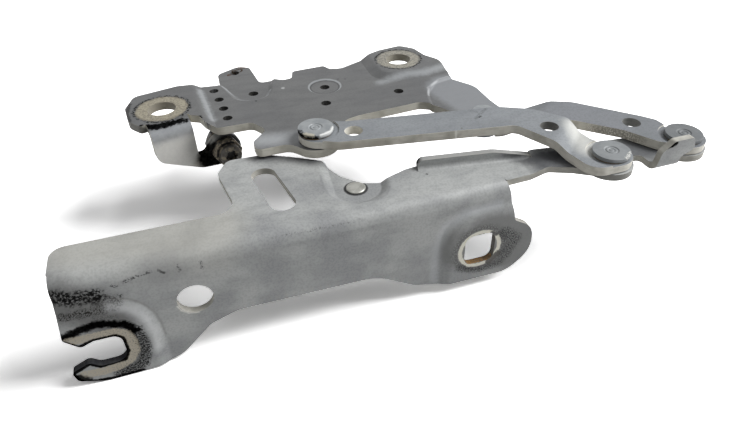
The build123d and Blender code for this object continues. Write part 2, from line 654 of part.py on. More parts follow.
def make_upper_plate():
    # Bonnet side plate: bolt pads raised, tab and rear eye sunk, flange and ear bent down
    eye_x, eye_y = FRONT_BONNET_PIVOT
    low_x, low_y = REAR_BONNET_PIVOT
    bend_left = EAR_PLANE.from_local_coords((EAR_FLANGE_LEFT, 0, -EAR_BEND_OUTER))
    bend_right = EAR_PLANE.from_local_coords((EAR_FLANGE_RIGHT, 0, -EAR_BEND_OUTER))
    plate_outline = [
        (bend_left.X, bend_left.Y, SHARP),
        (bend_right.X, bend_right.Y, SHARP),
        (-109.0, 95.6, 1.0),
        (-105.4, 93.8, 3.0),
        (-101.5, 82.2, 9.0),
        (-82.0, 82.2, 4.0),
        (-76.8, 73.0, 4.0),
        (-84.6, 64.0, 4.0),
        (-84.0, 56.6, 3.0),
        (-69.5, 56.8, 6.0),
        (eye_x - 6.6, eye_y - 7.9, SHARP),
        (eye_x + 8.0, eye_y - 6.5, SHARP),
        (-40.6, 69.2, 9.0),
        (-32.0, 71.2, 10.0),
        (-0.5, 73.8, 6.0),
        (5.6, 70.4, 6.0),
        (low_x - 9.0, low_y - 3.0, SHARP),
        (low_x + 9.4, low_y - 0.6, SHARP),
        (34.0, 66.0, 6.0),
        (33.6, 82.0, 12.0),
        (25.2, 94.4, 5.0),
        (26.6, 101.5, 6.0),
        (25.8, 113.6, 6.0),
        (21.0, 121.2, 6.0),
        (18.8, 131.5, 5.0),
        (12.5, 138.0, 4.0),
        (-1.0, 136.0, 10.0),
        (-26.5, 124.6, 7.0),
        (-32.4, 126.4, 2.5),
        (-34.6, 131.2, 1.5),
        (-52.4, 130.2, 2.5),
        (-54.2, 122.4, 2.5),
        (-58.9, 121.6, 3.0),
        (-64.4, 125.3, 4.0),
        (-71.2, 125.0, 3.0),
        (-72.0, 133.0, 3.0),
        (-73.4, 146.0, 3.0),
        (-79.3, 149.4, 5.0),
        (-91.2, 143.0, 5.0),
        (-91.4, 127.0, 2.0),
        (-113.0, 129.6, 6.0),
        (-134.6, 124.6, 5.0),
        (-138.9, 112.6, 4.0),
        (-137.6, 99.5, 8.0),
        (-132.4, 92.4, 3.0),
    ]
    left, near = PLATE_LOW
    right, far = PLATE_HIGH
    front_pad = [
        (-93.5, near - REACH, SHARP),
        (-109.0, far + REACH, SHARP),
        (left - REACH, far + REACH, SHARP),
        (left - REACH, near - REACH, SHARP),
    ]
    rear_pad = [
        (-10.8, far + REACH, SHARP),
        (-10.8, 103.4, 10.0),
        (10.0, 102.6, 20.0),
        (right + REACH, 119.0, SHARP),
        (right + REACH, far + REACH, SHARP),
    ]
    sunk_eye = [
        (right + REACH, 112.0, SHARP),
        (15.2, 91.6, 8.0),
        (7.4, 82.0, 10.0),
        (3.6, 66.0, 30.0),
        (10.0, near - REACH, SHARP),
        (right + REACH, near - REACH, SHARP),
    ]
    sunk_tab = [
        (-97.2, 141.0, 4.0),
        (-89.6, 124.0, 6.0),
        (-85.0, 106.0, 8.0),
        (-69.0, 105.0, 9.0),
        (-66.0, 122.0, 20.0),
        (-58.0, 135.0, 8.0),
        (-58.0, far + REACH, SHARP),
        (-97.2, far + REACH, SHARP),
    ]
    top = Plane.XY.offset(PLATE_TOP)
    bottom = Plane.XY.offset(PLATE_BOTTOM)
    raised = [
        (front_pad, PAD_RISE, FRONT_PAD_SLOPE),
        (rear_pad, PAD_RISE, REAR_PAD_SLOPE),
    ]
    sunk = [
        (sunk_eye, -SUNK_EYE_DEPTH, SUNK_EYE_SLOPE),
        (sunk_tab, -TAB_SINK, TAB_SINK_SLOPE),
    ]
    humps = [drawn_step(corners, top, rise, slope) for corners, rise, slope in raised]
    hollows = [drawn_step(corners, bottom, rise, slope) for corners, rise, slope in raised]
    humps += [drawn_step(corners, bottom, rise, slope) for corners, rise, slope in sunk]
    hollows += [drawn_step(corners, top, rise, slope) for corners, rise, slope in sunk]
    raised_levels = [
        (PLATE_TOP + PAD_RISE, PAD_SOFTNESS + PLATE_SHEET),
        (PLATE_BOTTOM + PAD_RISE, PAD_SOFTNESS),
    ]
    sunk_levels = [
        (PLATE_TOP - SUNK_EYE_DEPTH, SINK_SOFTNESS),
        (PLATE_BOTTOM - SUNK_EYE_DEPTH, SINK_SOFTNESS),
        (PLATE_TOP - TAB_SINK, SINK_SOFTNESS),
        (PLATE_BOTTOM - TAB_SINK, SINK_SOFTNESS),
        (PLATE_TOP, SINK_SOFTNESS),
    ]
    eyes = [(eye_x, eye_y, PLATE_PIVOT_RADIUS), (low_x, low_y, SUNK_EYE_RADIUS)]
    blank = outline_prism(plate_outline, eyes, Plane.XY.offset(PLATE_BOTTOM - REACH), 2 * REACH)
    trim = block((left, near, PLATE_BOTTOM - REACH), (right, far, PLATE_TOP + REACH))
    dimple = dished_disc(DIMPLE, PLATE_TOP, DIMPLE_DEPTH, DIMPLE_RADIUS, DIMPLE_SLOPE)
    ear_flange = make_ear_flange()
    holes = [
        ([FRONT_BOLT_HOLE, REAR_BOLT_HOLE], BOLT_HOLE_RADIUS),
        (ROW_HOLES, ROW_HOLE_RADIUS),
        (TOOL_HOLES + [DIMPLE], TOOL_HOLE_RADIUS),
        ([FRONT_BONNET_PIVOT, REAR_BONNET_PIVOT], PIN_RADIUS),
    ]
    with BuildPart() as upper_plate:
        with BuildSketch(bottom):
            with Locations(((left + right) / 2, (near + far) / 2)):
                Rectangle(right - left, far - near)
        extrude(amount=PLATE_SHEET)
        for hump in humps:
            add(hump)
        for hollow in hollows:
            add(hollow, mode=Mode.SUBTRACT)
        add(trim, mode=Mode.INTERSECT)
        for level, softness in raised_levels + sunk_levels:
            seams = creases(upper_plate.part, Axis.Z, level, (left, near, -REACH), (right, far, REACH))
            fillet(seams, softness)
        add(blank, mode=Mode.INTERSECT)
        add(dimple, mode=Mode.SUBTRACT)
        add(ear_flange)
        for centres, radius in holes:
            with BuildSketch(Plane.XY.offset(PLATE_BOTTOM - PLATE_SHEET)):
                with Locations(*centres):
                    Circle(radius)
            extrude(amount=3 * PLATE_SHEET, mode=Mode.SUBTRACT)
    return upper_plate.part


def link_band(plane, left_bottom, right_bottom, jog_start, jog_end):
    # Sheet band with one soft joggle down to the right, far longer and wider than the link
    end = 4 * REACH
    soft = LINK_SOFTNESS
    outer = LINK_SOFTNESS + LINK_SHEET
    profile = [
        (-end, left_bottom, SHARP),
        (jog_start, left_bottom, soft),
        (jog_end, right_bottom, outer),
        (end, right_bottom, SHARP),
        (end, right_bottom + LINK_SHEET, SHARP),
        (jog_end, right_bottom + LINK_SHEET, soft),
        (jog_start, left_bottom + LINK_SHEET, outer),
        (-end, left_bottom + LINK_SHEET, SHARP),
    ]
    with BuildPart() as band:
        with BuildSketch(plane):
            with BuildLine():
                add(rounded_loop(profile))
            make_face()
        extrude(amount=3 * REACH, both=True)
    return band.part


def link_eye_recess(pivot, level):
    # Cutter for the coined face round a link's eye
    with BuildPart() as recess:
        with BuildSketch(Plane.XY.offset(level)):
            with Locations(pivot):
                Circle(COIN_RADIUS)
        extrude(amount=COIN_DEPTH)
    return recess.part


def make_front_link():
    # Long cranked link, joggled down to the arm at its bracket end
    eye_x, eye_y = FRONT_BONNET_PIVOT
    low_x, low_y = FRONT_BRACKET_PIVOT
    jog_end = FRONT_JOG_START + FRONT_JOG_LENGTH
    high_eye = (eye_x + FRONT_EYE_SHIFT[0], eye_y + FRONT_EYE_SHIFT[1])
    outline = [
        (high_eye[0], high_eye[1], SHARP),
        (eye_x - 0.8, eye_y - 9.9, SHARP),
        (-50.0, 43.5, 12.0),
        (29.0, 30.4, 6.0),
        (42.0, 5.0, 10.0),
        (44.6, low_y - 9.2, 10.0),
        (low_x, low_y - 9.2, SHARP),
        (low_x, low_y, SHARP),
        (low_x + 1.6, low_y + 9.0, SHARP),
        (57.2, 12.8, 4.0),
        (54.3, 28.0, 6.0),
        (43.0, 41.4, 16.0),
        (29.0, 48.8, 16.0),
        (-15.5, 55.8, 40.0),
        (-44.0, 60.4, 14.0),
        (eye_x + 4.2, eye_y + 8.2, SHARP),
    ]
    eyes = [
        (high_eye[0], high_eye[1], LINK_EYE_RADIUS - 0.2),
        (low_x, low_y, LINK_EYE_RADIUS - 0.4),
    ]
    band = link_band(FRONT_JOG_PLANE, HIGH_EYE_BOTTOM, LOW_EYE_BOTTOM, FRONT_JOG_START, jog_end)
    cut = outline_prism(outline, eyes, Plane.XY.offset(LOW_EYE_BOTTOM - PAST), REACH)
    recesses = [
        link_eye_recess(FRONT_BRACKET_PIVOT, LOW_EYE_TOP),
        link_eye_recess(FRONT_BONNET_PIVOT, HIGH_EYE_TOP),
    ]
    with BuildPart() as front_link:
        add(band)
        add(cut, mode=Mode.INTERSECT)
        for recess in recesses:
            add(recess, mode=Mode.SUBTRACT)
        with BuildSketch(Plane.XY.offset(LOW_EYE_BOTTOM - PAST)):
            with Locations(FRONT_BRACKET_PIVOT, FRONT_BONNET_PIVOT):
                Circle(BUSH_RADIUS)
            with Locations(*FRONT_LINK_HOLES):
                Circle(LIGHTENING_RADIUS)
        extrude(amount=REACH, mode=Mode.SUBTRACT)
    return front_link.part


def make_rear_link():
    # Short cranked link, dropped under the upper plate at its bonnet end
    top_x, top_y = REAR_BRACKET_PIVOT
    low_x, low_y = REAR_BONNET_PIVOT
    jog_end = REAR_JOG_START + REAR_JOG_LENGTH
    outline = [
        (top_x, top_y, SHARP),
        (top_x - 8.3, top_y - 4.6, SHARP),
        (83.4, 1.6, 4.0),
        (75.2, 15.0, 6.0),
        (59.6, 29.8, 20.0),
        (47.6, 38.6, 8.0),
        (low_x - 3.0, low_y - 9.1, SHARP),
        (low_x, low_y, SHARP),
        (low_x + 3.6, low_y + 8.9, SHARP),
        (57.0, 51.4, 12.0),
        (68.0, 46.4, 10.0),
        (90.3, 23.6, 10.0),
        (94.8, 18.0, 3.0),
        (top_x - 1.6, top_y + 9.4, SHARP),
    ]
    eyes = [(top_x, top_y, LINK_EYE_RADIUS), (low_x, low_y, LINK_EYE_RADIUS)]
    band = link_band(REAR_JOG_PLANE, LOW_EYE_BOTTOM, UNDER_LINK_BOTTOM, REAR_JOG_START, jog_end)
    cut = outline_prism(outline, eyes, Plane.XY.offset(UNDER_LINK_BOTTOM - PAST), REACH)
    recesses = [
        link_eye_recess(REAR_BRACKET_PIVOT, LOW_EYE_TOP),
        link_eye_recess(REAR_BONNET_PIVOT, UNDER_LINK_BOTTOM),
    ]
    with BuildPart() as rear_link:
        add(band)
        add(cut, mode=Mode.INTERSECT)
        for recess in recesses:
            add(recess, mode=Mode.SUBTRACT)
        with BuildSketch(Plane.XY.offset(UNDER_LINK_BOTTOM - PAST)):
            with Locations(REAR_BRACKET_PIVOT):
                Circle(BUSH_RADIUS)
            with Locations(REAR_BONNET_PIVOT):
                Circle(LOOSE_EYE_RADIUS)
            with Locations(REAR_LINK_HOLE):
                Circle(LIGHTENING_RADIUS)
        extrude(amount=REACH, mode=Mode.SUBTRACT)
    return rear_link.part


def make_pin(pivot, head_level, peen_level):
    # Rivet pin: coined head with a centre pip, plain shank, peened end on the far side
    side = 1 if head_level > peen_level else -1
    head_end = head_level + side * PIN_HEAD_HEIGHT
    with BuildPart() as pin:
        with BuildSketch(Plane.XY.offset(head_level)):
            with Locations(pivot):
                Circle(PIN_HEAD_RADIUS)
        extrude(amount=side * PIN_HEAD_HEIGHT)
        head_face = pin.faces().filter_by(Axis.Z).sort_by(Axis.Z)[-1 if side > 0 else 0]
        chamfer(head_face.edges(), PIN_EDGE)
        with BuildSketch(Plane.XY.offset(head_end)):
            with Locations(pivot):
                Circle(PIP_RING_RADIUS)
                Circle(PIP_RADIUS, mode=Mode.SUBTRACT)
        extrude(amount=-side * PIP_DEPTH, mode=Mode.SUBTRACT)
        with BuildSketch(Plane.XY.offset(head_level)):
            with Locations(pivot):
                Circle(PIN_RADIUS)
        extrude(amount=peen_level - head_level)
        with BuildSketch(Plane.XY.offset(peen_level)):
            with Locations(pivot):
                Circle(PEEN_RADIUS)
        extrude(amount=-side * PEEN_HEIGHT)
        peen_face = pin.faces().filter_by(Axis.Z).sort_by(Axis.Z)[0 if side > 0 else -1]
        chamfer(peen_face.edges(), PEEN_EDGE)
    return pin.part


def make_bush(pivot, flange_level, far_level):
    # Flanged plain bearing: the flange lies under the pin head, the sleeve in the eye
    side = 1 if flange_level > far_level else -1
    with BuildPart() as bush:
        with BuildSketch(Plane.XY.offset(flange_level)):
            with Locations(pivot):
                Circle(BUSH_FLANGE_RADIUS)
                Circle(BUSH_BORE_RADIUS, mode=Mode.SUBTRACT)
        extrude(amount=side * BUSH_FLANGE_HEIGHT)
        with BuildSketch(Plane.XY.offset(flange_level)):
            with Locations(pivot):
                Circle(BUSH_RADIUS)
                Circle(BUSH_BORE_RADIUS, mode=Mode.SUBTRACT)
        extrude(amount=far_level - flange_level)
    return bush.part


def make_washer(pivot, level):
    # Thin thrust washer between a link eye and the sheet it turns on
    with BuildPart() as washer:
        with BuildSketch(Plane.XY.offset(level)):
            with Locations(pivot):
                Circle(WASHER_RADIUS)
                Circle(PIN_RADIUS + WASHER_PLAY, mode=Mode.SUBTRACT)
        extrude(amount=WASHER_HEIGHT)
    return washer.part


def make_stop_screw():
    # Adjusting screw with a round head and a six-lobed recess, pointing at the bracket
    head_start = LOCK_NUT_HEIGHT + SCREW_GAP
    head_end = head_start + SCREW_HEAD_HEIGHT
    tail = PLATE_SHEET + WELD_NUT_HEIGHT + SCREW_TAIL
    with BuildPart() as stop_screw:
        with BuildSketch(EAR_PLANE.offset(-tail)):
            with Locations(EAR_CENTRE):
                Circle(SCREW_RADIUS)
        extrude(amount=tail + head_start)
        tail_face = stop_screw.faces().filter_by(GeomType.PLANE).sort_by(Axis.Y)[-1]
        chamfer(tail_face.edges(), NUT_CHAMFER)
        with BuildSketch(EAR_PLANE.offset(head_start)):
            with Locations(EAR_CENTRE):
                Circle(SCREW_HEAD_RADIUS)
        extrude(amount=SCREW_HEAD_HEIGHT)
        head_face = stop_screw.faces().filter_by(GeomType.PLANE).sort_by(Axis.Y)[0]
        chamfer(head_face.edges(), PIN_EDGE)
        with BuildSketch(EAR_PLANE.offset(head_end)):
            with Locations(EAR_CENTRE):
                Circle(SOCKET_RADIUS - SOCKET_LOBE_RADIUS / 2)
                with PolarLocations(SOCKET_RADIUS - SOCKET_LOBE_RADIUS / 2, SOCKET_LOBES):
                    Circle(SOCKET_LOBE_RADIUS)
        extrude(amount=-SOCKET_DEPTH, mode=Mode.SUBTRACT)
    return stop_screw.part


def make_nut(plane, height):
    # Hexagon nut on the stop screw, with its corners turned round
    with BuildPart() as nut:
        with BuildSketch(plane):
            with Locations(EAR_CENTRE):
                RegularPolygon(NUT_ACROSS / 2, HEXAGON, major_radius=False)
        extrude(amount=height)
        with BuildSketch(plane):
            with Locations(EAR_CENTRE):
                Circle(NUT_ACROSS / 2 + NUT_CHAMFER)
        extrude(amount=height, mode=Mode.INTERSECT)
        with BuildSketch(plane):
            with Locations(EAR_CENTRE):
                Circle(SCREW_RADIUS)
        extrude(amount=height, mode=Mode.SUBTRACT)
    return nut.part


def make_strut_stud():
    # Ball stud for the gas strut: peened end in the dish, ball on the hidden side
    dish_top = WEB_TOP - DISH_DEPTH
    dish_bottom = WEB_BOTTOM - DISH_DEPTH
    stud_x, stud_y = STRUT_POINT
    collar_end = dish_bottom - STUD_COLLAR_HEIGHT
    ball_centre = collar_end - STUD_BALL_DROP
    with BuildPart() as strut_ball_stud:
        with BuildSketch(Plane.XY.offset(dish_top)):
            with Locations(STRUT_POINT):
                Circle(STUD_PEEN_RADIUS)
        extrude(amount=STUD_PEEN_HEIGHT)
        peen_face = strut_ball_stud.faces().filter_by(Axis.Z).sort_by(Axis.Z)[-1]
        chamfer(peen_face.edges(), PEEN_EDGE)
        with BuildSketch(Plane.XY.offset(dish_bottom)):
            with Locations(STRUT_POINT):
                Circle(STUD_SHANK_RADIUS)
        extrude(amount=dish_top - dish_bottom)
        with BuildSketch(Plane.XY.offset(dish_bottom)):
            with Locations(STRUT_POINT):
                Circle(STUD_COLLAR_RADIUS)
        extrude(amount=-STUD_COLLAR_HEIGHT)
        with BuildSketch(Plane.XY.offset(collar_end)):
            with Locations(STRUT_POINT):
                Circle(STUD_NECK_RADIUS)
        extrude(amount=-STUD_BALL_DROP)
        with Locations((stud_x, stud_y, ball_centre)):
            Sphere(STUD_BALL_RADIUS)
    return strut_ball_stud.part


lower_bracket = make_lower_bracket()
front_link = make_front_link()
rear_link = make_rear_link()
upper_plate = make_upper_plate()

low_head = LOW_EYE_TOP + BUSH_FLANGE_HEIGHT
high_head = HIGH_EYE_TOP + BUSH_FLANGE_HEIGHT
under_head = UNDER_EYE_BOTTOM - BUSH_FLANGE_HEIGHT
front_bracket_pin = make_pin(FRONT_BRACKET_PIVOT, low_head, ARM_BOTTOM)
rear_bracket_pin = make_pin(REAR_BRACKET_PIVOT, low_head, ARM_BOTTOM)
front_bonnet_pin = make_pin(FRONT_BONNET_PIVOT, high_head, PLATE_BOTTOM)
rear_bonnet_pin = make_pin(REAR_BONNET_PIVOT, under_head, SUNK_EYE_TOP)

front_bracket_bush = make_bush(FRONT_BRACKET_PIVOT, LOW_EYE_TOP, LOW_EYE_BOTTOM)
rear_bracket_bush = make_bush(REAR_BRACKET_PIVOT, LOW_EYE_TOP, LOW_EYE_BOTTOM)
front_bonnet_bush = make_bush(FRONT_BONNET_PIVOT, HIGH_EYE_TOP, HIGH_EYE_BOTTOM)
rear_bonnet_bush = make_bush(REAR_BONNET_PIVOT, UNDER_EYE_BOTTOM, UNDER_EYE_TOP)

front_bracket_washer = make_washer(FRONT_BRACKET_PIVOT, ARM_TOP)
rear_bracket_washer = make_washer(REAR_BRACKET_PIVOT, ARM_TOP)
front_bonnet_washer = make_washer(FRONT_BONNET_PIVOT, PLATE_TOP)
rear_bonnet_washer = make_washer(REAR_BONNET_PIVOT, UNDER_EYE_TOP)

stop_screw = make_stop_screw()
stop_lock_nut = make_nut(EAR_PLANE, LOCK_NUT_HEIGHT)
stop_weld_nut = make_nut(EAR_PLANE.offset(-PLATE_SHEET - WELD_NUT_HEIGHT), WELD_NUT_HEIGHT)
strut_ball_stud = make_strut_stud()

PIECES = {
    "lower_bracket": lower_bracket,
    "front_link": front_link,
    "rear_link": rear_link,
    "upper_plate": upper_plate,
    "front_bracket_pin": front_bracket_pin,
    "rear_bracket_pin": rear_bracket_pin,
    "front_bonnet_pin": front_bonnet_pin,
    "rear_bonnet_pin": rear_bonnet_pin,
    "front_bracket_bush": front_bracket_bush,
    "rear_bracket_bush": rear_bracket_bush,
    "front_bonnet_bush": front_bonnet_bush,
    "rear_bonnet_bush": rear_bonnet_bush,
    "front_bracket_washer": front_bracket_washer,
    "rear_bracket_washer": rear_bracket_washer,
    "front_bonnet_washer": front_bonnet_washer,
    "rear_bonnet_washer": rear_bonnet_washer,
    "stop_screw": stop_screw,
    "stop_lock_nut": stop_lock_nut,
    "stop_weld_nut": stop_weld_nut,
    "strut_ball_stud": strut_ball_stud,
}

os.makedirs("parts", exist_ok=True)
for label, piece in PIECES.items():
    piece.label = label
    export_step(piece, "parts/" + label + ".step")
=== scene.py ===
"""Looks of a bonnet hinge: a four-bar linkage of painted pressings on rivet pins.

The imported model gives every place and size. This script rounds and dresses the four pressings,
turns the rivet pins, the stop screw with its nuts and the strut stud, and lights them in a
plain studio.
"""

import json
import logging
import math
from dataclasses import dataclass, field
from enum import Enum
from typing import Callable

import bmesh
import bpy
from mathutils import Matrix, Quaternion, Vector
from mathutils.bvhtree import BVHTree
from mathutils.geometry import tessellate_polygon

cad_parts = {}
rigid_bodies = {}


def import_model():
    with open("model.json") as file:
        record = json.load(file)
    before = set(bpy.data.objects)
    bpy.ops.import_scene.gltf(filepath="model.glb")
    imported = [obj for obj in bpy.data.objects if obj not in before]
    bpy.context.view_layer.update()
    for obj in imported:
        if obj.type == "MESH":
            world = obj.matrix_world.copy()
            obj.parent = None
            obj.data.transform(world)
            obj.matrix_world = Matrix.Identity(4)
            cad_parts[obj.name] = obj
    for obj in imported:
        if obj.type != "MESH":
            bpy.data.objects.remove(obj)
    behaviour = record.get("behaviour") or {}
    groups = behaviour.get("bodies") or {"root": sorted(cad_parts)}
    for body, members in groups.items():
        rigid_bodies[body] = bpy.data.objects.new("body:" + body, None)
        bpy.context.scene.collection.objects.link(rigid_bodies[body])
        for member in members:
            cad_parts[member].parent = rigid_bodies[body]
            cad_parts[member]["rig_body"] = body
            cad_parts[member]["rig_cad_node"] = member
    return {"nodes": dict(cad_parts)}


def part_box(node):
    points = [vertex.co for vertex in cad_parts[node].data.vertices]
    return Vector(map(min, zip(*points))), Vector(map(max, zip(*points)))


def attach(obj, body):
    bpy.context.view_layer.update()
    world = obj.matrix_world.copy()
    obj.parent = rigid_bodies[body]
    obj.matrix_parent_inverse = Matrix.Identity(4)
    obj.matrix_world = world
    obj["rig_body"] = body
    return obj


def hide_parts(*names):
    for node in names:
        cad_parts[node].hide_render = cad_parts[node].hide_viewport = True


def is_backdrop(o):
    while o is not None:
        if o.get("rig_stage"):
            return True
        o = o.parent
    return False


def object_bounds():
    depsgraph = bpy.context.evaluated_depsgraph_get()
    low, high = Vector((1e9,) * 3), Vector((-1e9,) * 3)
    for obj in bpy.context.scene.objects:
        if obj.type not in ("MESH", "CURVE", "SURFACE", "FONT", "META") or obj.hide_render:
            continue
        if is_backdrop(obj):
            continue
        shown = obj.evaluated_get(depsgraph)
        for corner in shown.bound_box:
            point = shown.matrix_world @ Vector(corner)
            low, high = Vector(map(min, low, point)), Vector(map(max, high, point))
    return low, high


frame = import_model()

Point = tuple[float, float, float]
Span = tuple[float, float]
Socket = bpy.types.NodeSocket

MM = 0.001
PER_METRE = 1000.0
LOG = logging.getLogger("bonnet_hinge")

ROUND_SIDES = 72          # sides of every turned piece
WAVE_PERIOD = 0.314       # width of one ring of Blender's wave texture at a scale of 1
RIM_SWING = 4.0           # noise of a patch's rim for each millimetre of its raggedness
FLECK_RATIO = 0.45        # grain of a patch's flecks, to its own grain
FLECK_LEVEL = 0.40        # noise at which flecks start in a patch that is hardly broken
FLECK_RISE = 0.20         # how much that level rises in a patch that is wholly broken
FLECK_FADE = 0.09         # step of the noise over which a fleck fades
DAPPLE_RATIO = 0.7        # grain of a patch's dapples, to its own grain
DAPPLE = (0.35, 0.65, 0.95, 1.0)      # span of noise, and the shares of colour it stands for
SMOOTH = {"interpolation_type": "SMOOTHSTEP"}
COLOUR_MIX = {"data_type": "RGBA", "output": 2}      # its share is input 0, its colours 6 and 7


class Body(Enum):
    """The four rigid bodies of the linkage, by their names in the record."""

    BRACKET = "bracket"
    FRONT_ARM = "front_arm"
    REAR_ARM = "rear_arm"
    BONNET_SIDE = "bonnet_side"


class Slot(Enum):
    """The record's material slots."""

    BRACKET_PAINT = "bracket_paint"
    PLATE_PAINT = "plate_paint"
    LINK_PAINT = "link_paint"
    PIN_PAINT = "pin_paint"
    BUSH_METAL = "bush_metal"
    WASHER_METAL = "washer_metal"
    BLACK_STEEL = "black_steel"
    ZINC_STEEL = "zinc_steel"


class Surface(Enum):
    """Which material slot of a pressing a face takes."""

    SHEET = 0
    CUT_EDGE = 1


class Element(Enum):
    """What edit mode selects."""

    VERTEX = "VERT"
    FACE = "FACE"


def linear(code: str) -> tuple[float, float, float, float]:
    """Turns an sRGB hex colour into linear RGBA.

    Args:
        code: colour as "#rrggbb".

    Returns:
        The linear colour, opaque.
    """
    channels = [int(code[start:start + 2], 16) / 255 for start in (1, 3, 5)]
    curved = [c / 12.92 if c <= 0.04045 else ((c + 0.055) / 1.055) ** 2.4 for c in channels]
    return (*curved, 1.0)


def new_material(name: str) -> bpy.types.Material:
    """Makes an empty node material.

    Args:
        name: the finish's own name.

    Returns:
        The material.
    """
    material = bpy.data.materials.new(name)
    material.use_nodes = True
    material.node_tree.nodes.clear()
    return material


@dataclass
class Canvas:
    """Node tree that is being drawn."""

    tree: bpy.types.NodeTree

    def add(self, kind: str, inputs: dict | tuple = (), output: int | str = 0,
            **settings: object) -> Socket | None:
        """Adds one node with its settings, its values and its links.

        Args:
            kind: Blender's type name of the node, after "ShaderNode".
            inputs: a value, a hex colour or an output socket for each input, in order, or by
                name or number.
            output: name or number of the output that is handed back.
            settings: the node's own properties.

        Returns:
            The output socket, if the node has one.
        """
        node = self.tree.nodes.new("ShaderNode" + kind)
        for name, value in settings.items():
            setattr(node, name, value)
        for socket, value in inputs.items() if isinstance(inputs, dict) else enumerate(inputs):
            if isinstance(value, Socket):
                self.tree.links.new(value, node.inputs[socket])
            else:
                plain = linear(value) if isinstance(value, str) else value
                node.inputs[socket].default_value = plain
        return node.outputs[output] if node.outputs else None


@dataclass(frozen=True)
class Patch:
    """A worn, greasy or rusty place, or a painted shade or highlight, along a path on a
    finish, in millimetres.

    The patch covers what lies between inner and outer from the path. Its rim is ragged by
    noise of one grain size and fades over a little width. It may be broken into flecks, stand
    up from the finish, or be matt, as dried grease and rust are.
    """

    path: tuple[Point, ...]
    outer: float
    colour: str
    inner: float = 0.0
    ragged: float = 0.6
    grain: float = 2.0
    fade: float = 0.4
    strength: float = 1.0
    roughness: float = 0.6
    broken: float = 0.0
    height: float = 0.0
    matt: bool = False

    def mask(self, coat: "Coat") -> Socket:
        """Builds the patch's share of the surface.

        Args:
            coat: finish that the patch is laid on.

        Returns:
            Socket that is 1 in the patch and 0 outside it.
        """
        wobble = coat.add("TexNoise", {"Vector": coat.point, "Scale": 1 / self.grain,
                                       "Detail": 3.0})
        swing = RIM_SWING * self.ragged
        away = coat.add("Math", (wobble, swing, self.distance(coat)), operation="MULTIPLY_ADD")
        outer = self.outer + swing / 2
        share = coat.add("MapRange", (away, outer - self.fade, outer + self.fade,
                                      self.strength, 0.0), **SMOOTH)
        if self.inner > 0:
            inner = self.inner + swing / 2
            hole = coat.add("MapRange", (away, inner - self.fade, inner + self.fade), **SMOOTH)
            share = coat.add("Math", (share, hole), operation="MULTIPLY")
        if self.broken > 0:
            grit = coat.add("TexNoise", {"Vector": coat.point, "Detail": 4.0,
                                         "Scale": 1 / (FLECK_RATIO * self.grain)})
            middle = FLECK_LEVEL + FLECK_RISE * self.broken
            kept = coat.add("MapRange", (grit, middle - FLECK_FADE, middle + FLECK_FADE),
                            **SMOOTH)
            share = coat.add("Math", (share, kept), operation="MULTIPLY")
        return share

    def distance(self, coat: "Coat") -> Socket:
        """Measures how far the surface point lies from the patch's path.

        Args:
            coat: finish that the patch is laid on.

        Returns:
            The distance's socket, in millimetres.
        """
        if len(self.path) == 1:
            return coat.add("VectorMath", (coat.point, self.path[0]), "Value",
                            operation="DISTANCE")
        nearest = None
        for start, end in zip(self.path, self.path[1:]):
            run = Vector(end) - Vector(start)
            offset = coat.add("VectorMath", (coat.point, start), operation="SUBTRACT")
            along = coat.add("VectorMath", (offset, tuple(run / run.length_squared)), "Value",
                             operation="DOT_PRODUCT")
            past_start = coat.add("Math", (along, 0.0), operation="MAXIMUM")
            held = coat.add("Math", (past_start, 1.0), operation="MINIMUM")
            foot = coat.add("VectorMath", {0: tuple(run), "Scale": held}, operation="SCALE")
            away = coat.add("VectorMath", (offset, foot), "Value", operation="DISTANCE")
            nearest = away if nearest is None else coat.add("Math", (nearest, away),
                                                            operation="MINIMUM")
        return nearest


@dataclass(frozen=True)
class Pattern:
    """Noise or rings in a finish, and what they do to its colour, roughness and relief.

    Sizes and heights are in millimetres. The colour comes up between the values of span, by
    share at most, and the roughness changes by swing between those of rough_span. Noise is
    squeezed along each axis, and rings lie round centre, one size apart.
    """

    size: float
    colour: str = ""
    span: Span = (0.0, 1.0)
    share: float = 1.0
    detail: float = 4.0
    squeeze: Point | None = None
    centre: Point | None = None
    wander: float = 0.3
    height: float = 0.0
    rough_span: Span = (0.35, 0.65)
    swing: Span | None = None

    def draw(self, coat: "Coat") -> Socket:
        """Draws the noise, or the rings if the pattern has a centre.

        Args:
            coat: finish that the pattern is in.

        Returns:
            The pattern's socket.
        """
        place = coat.point
        if self.centre is not None:
            offset = coat.add("VectorMath", (place, self.centre), operation="SUBTRACT")
            return coat.add("TexWave", {"Vector": offset, "Scale": WAVE_PERIOD / self.size,
                                        "Distortion": self.wander}, "Fac",
                            wave_type="RINGS", rings_direction="Z")
        if self.squeeze is not None:
            place = coat.add("VectorMath", (place, self.squeeze), operation="MULTIPLY")
        return coat.add("TexNoise", {"Vector": place, "Scale": 1 / self.size,
                                     "Detail": self.detail})


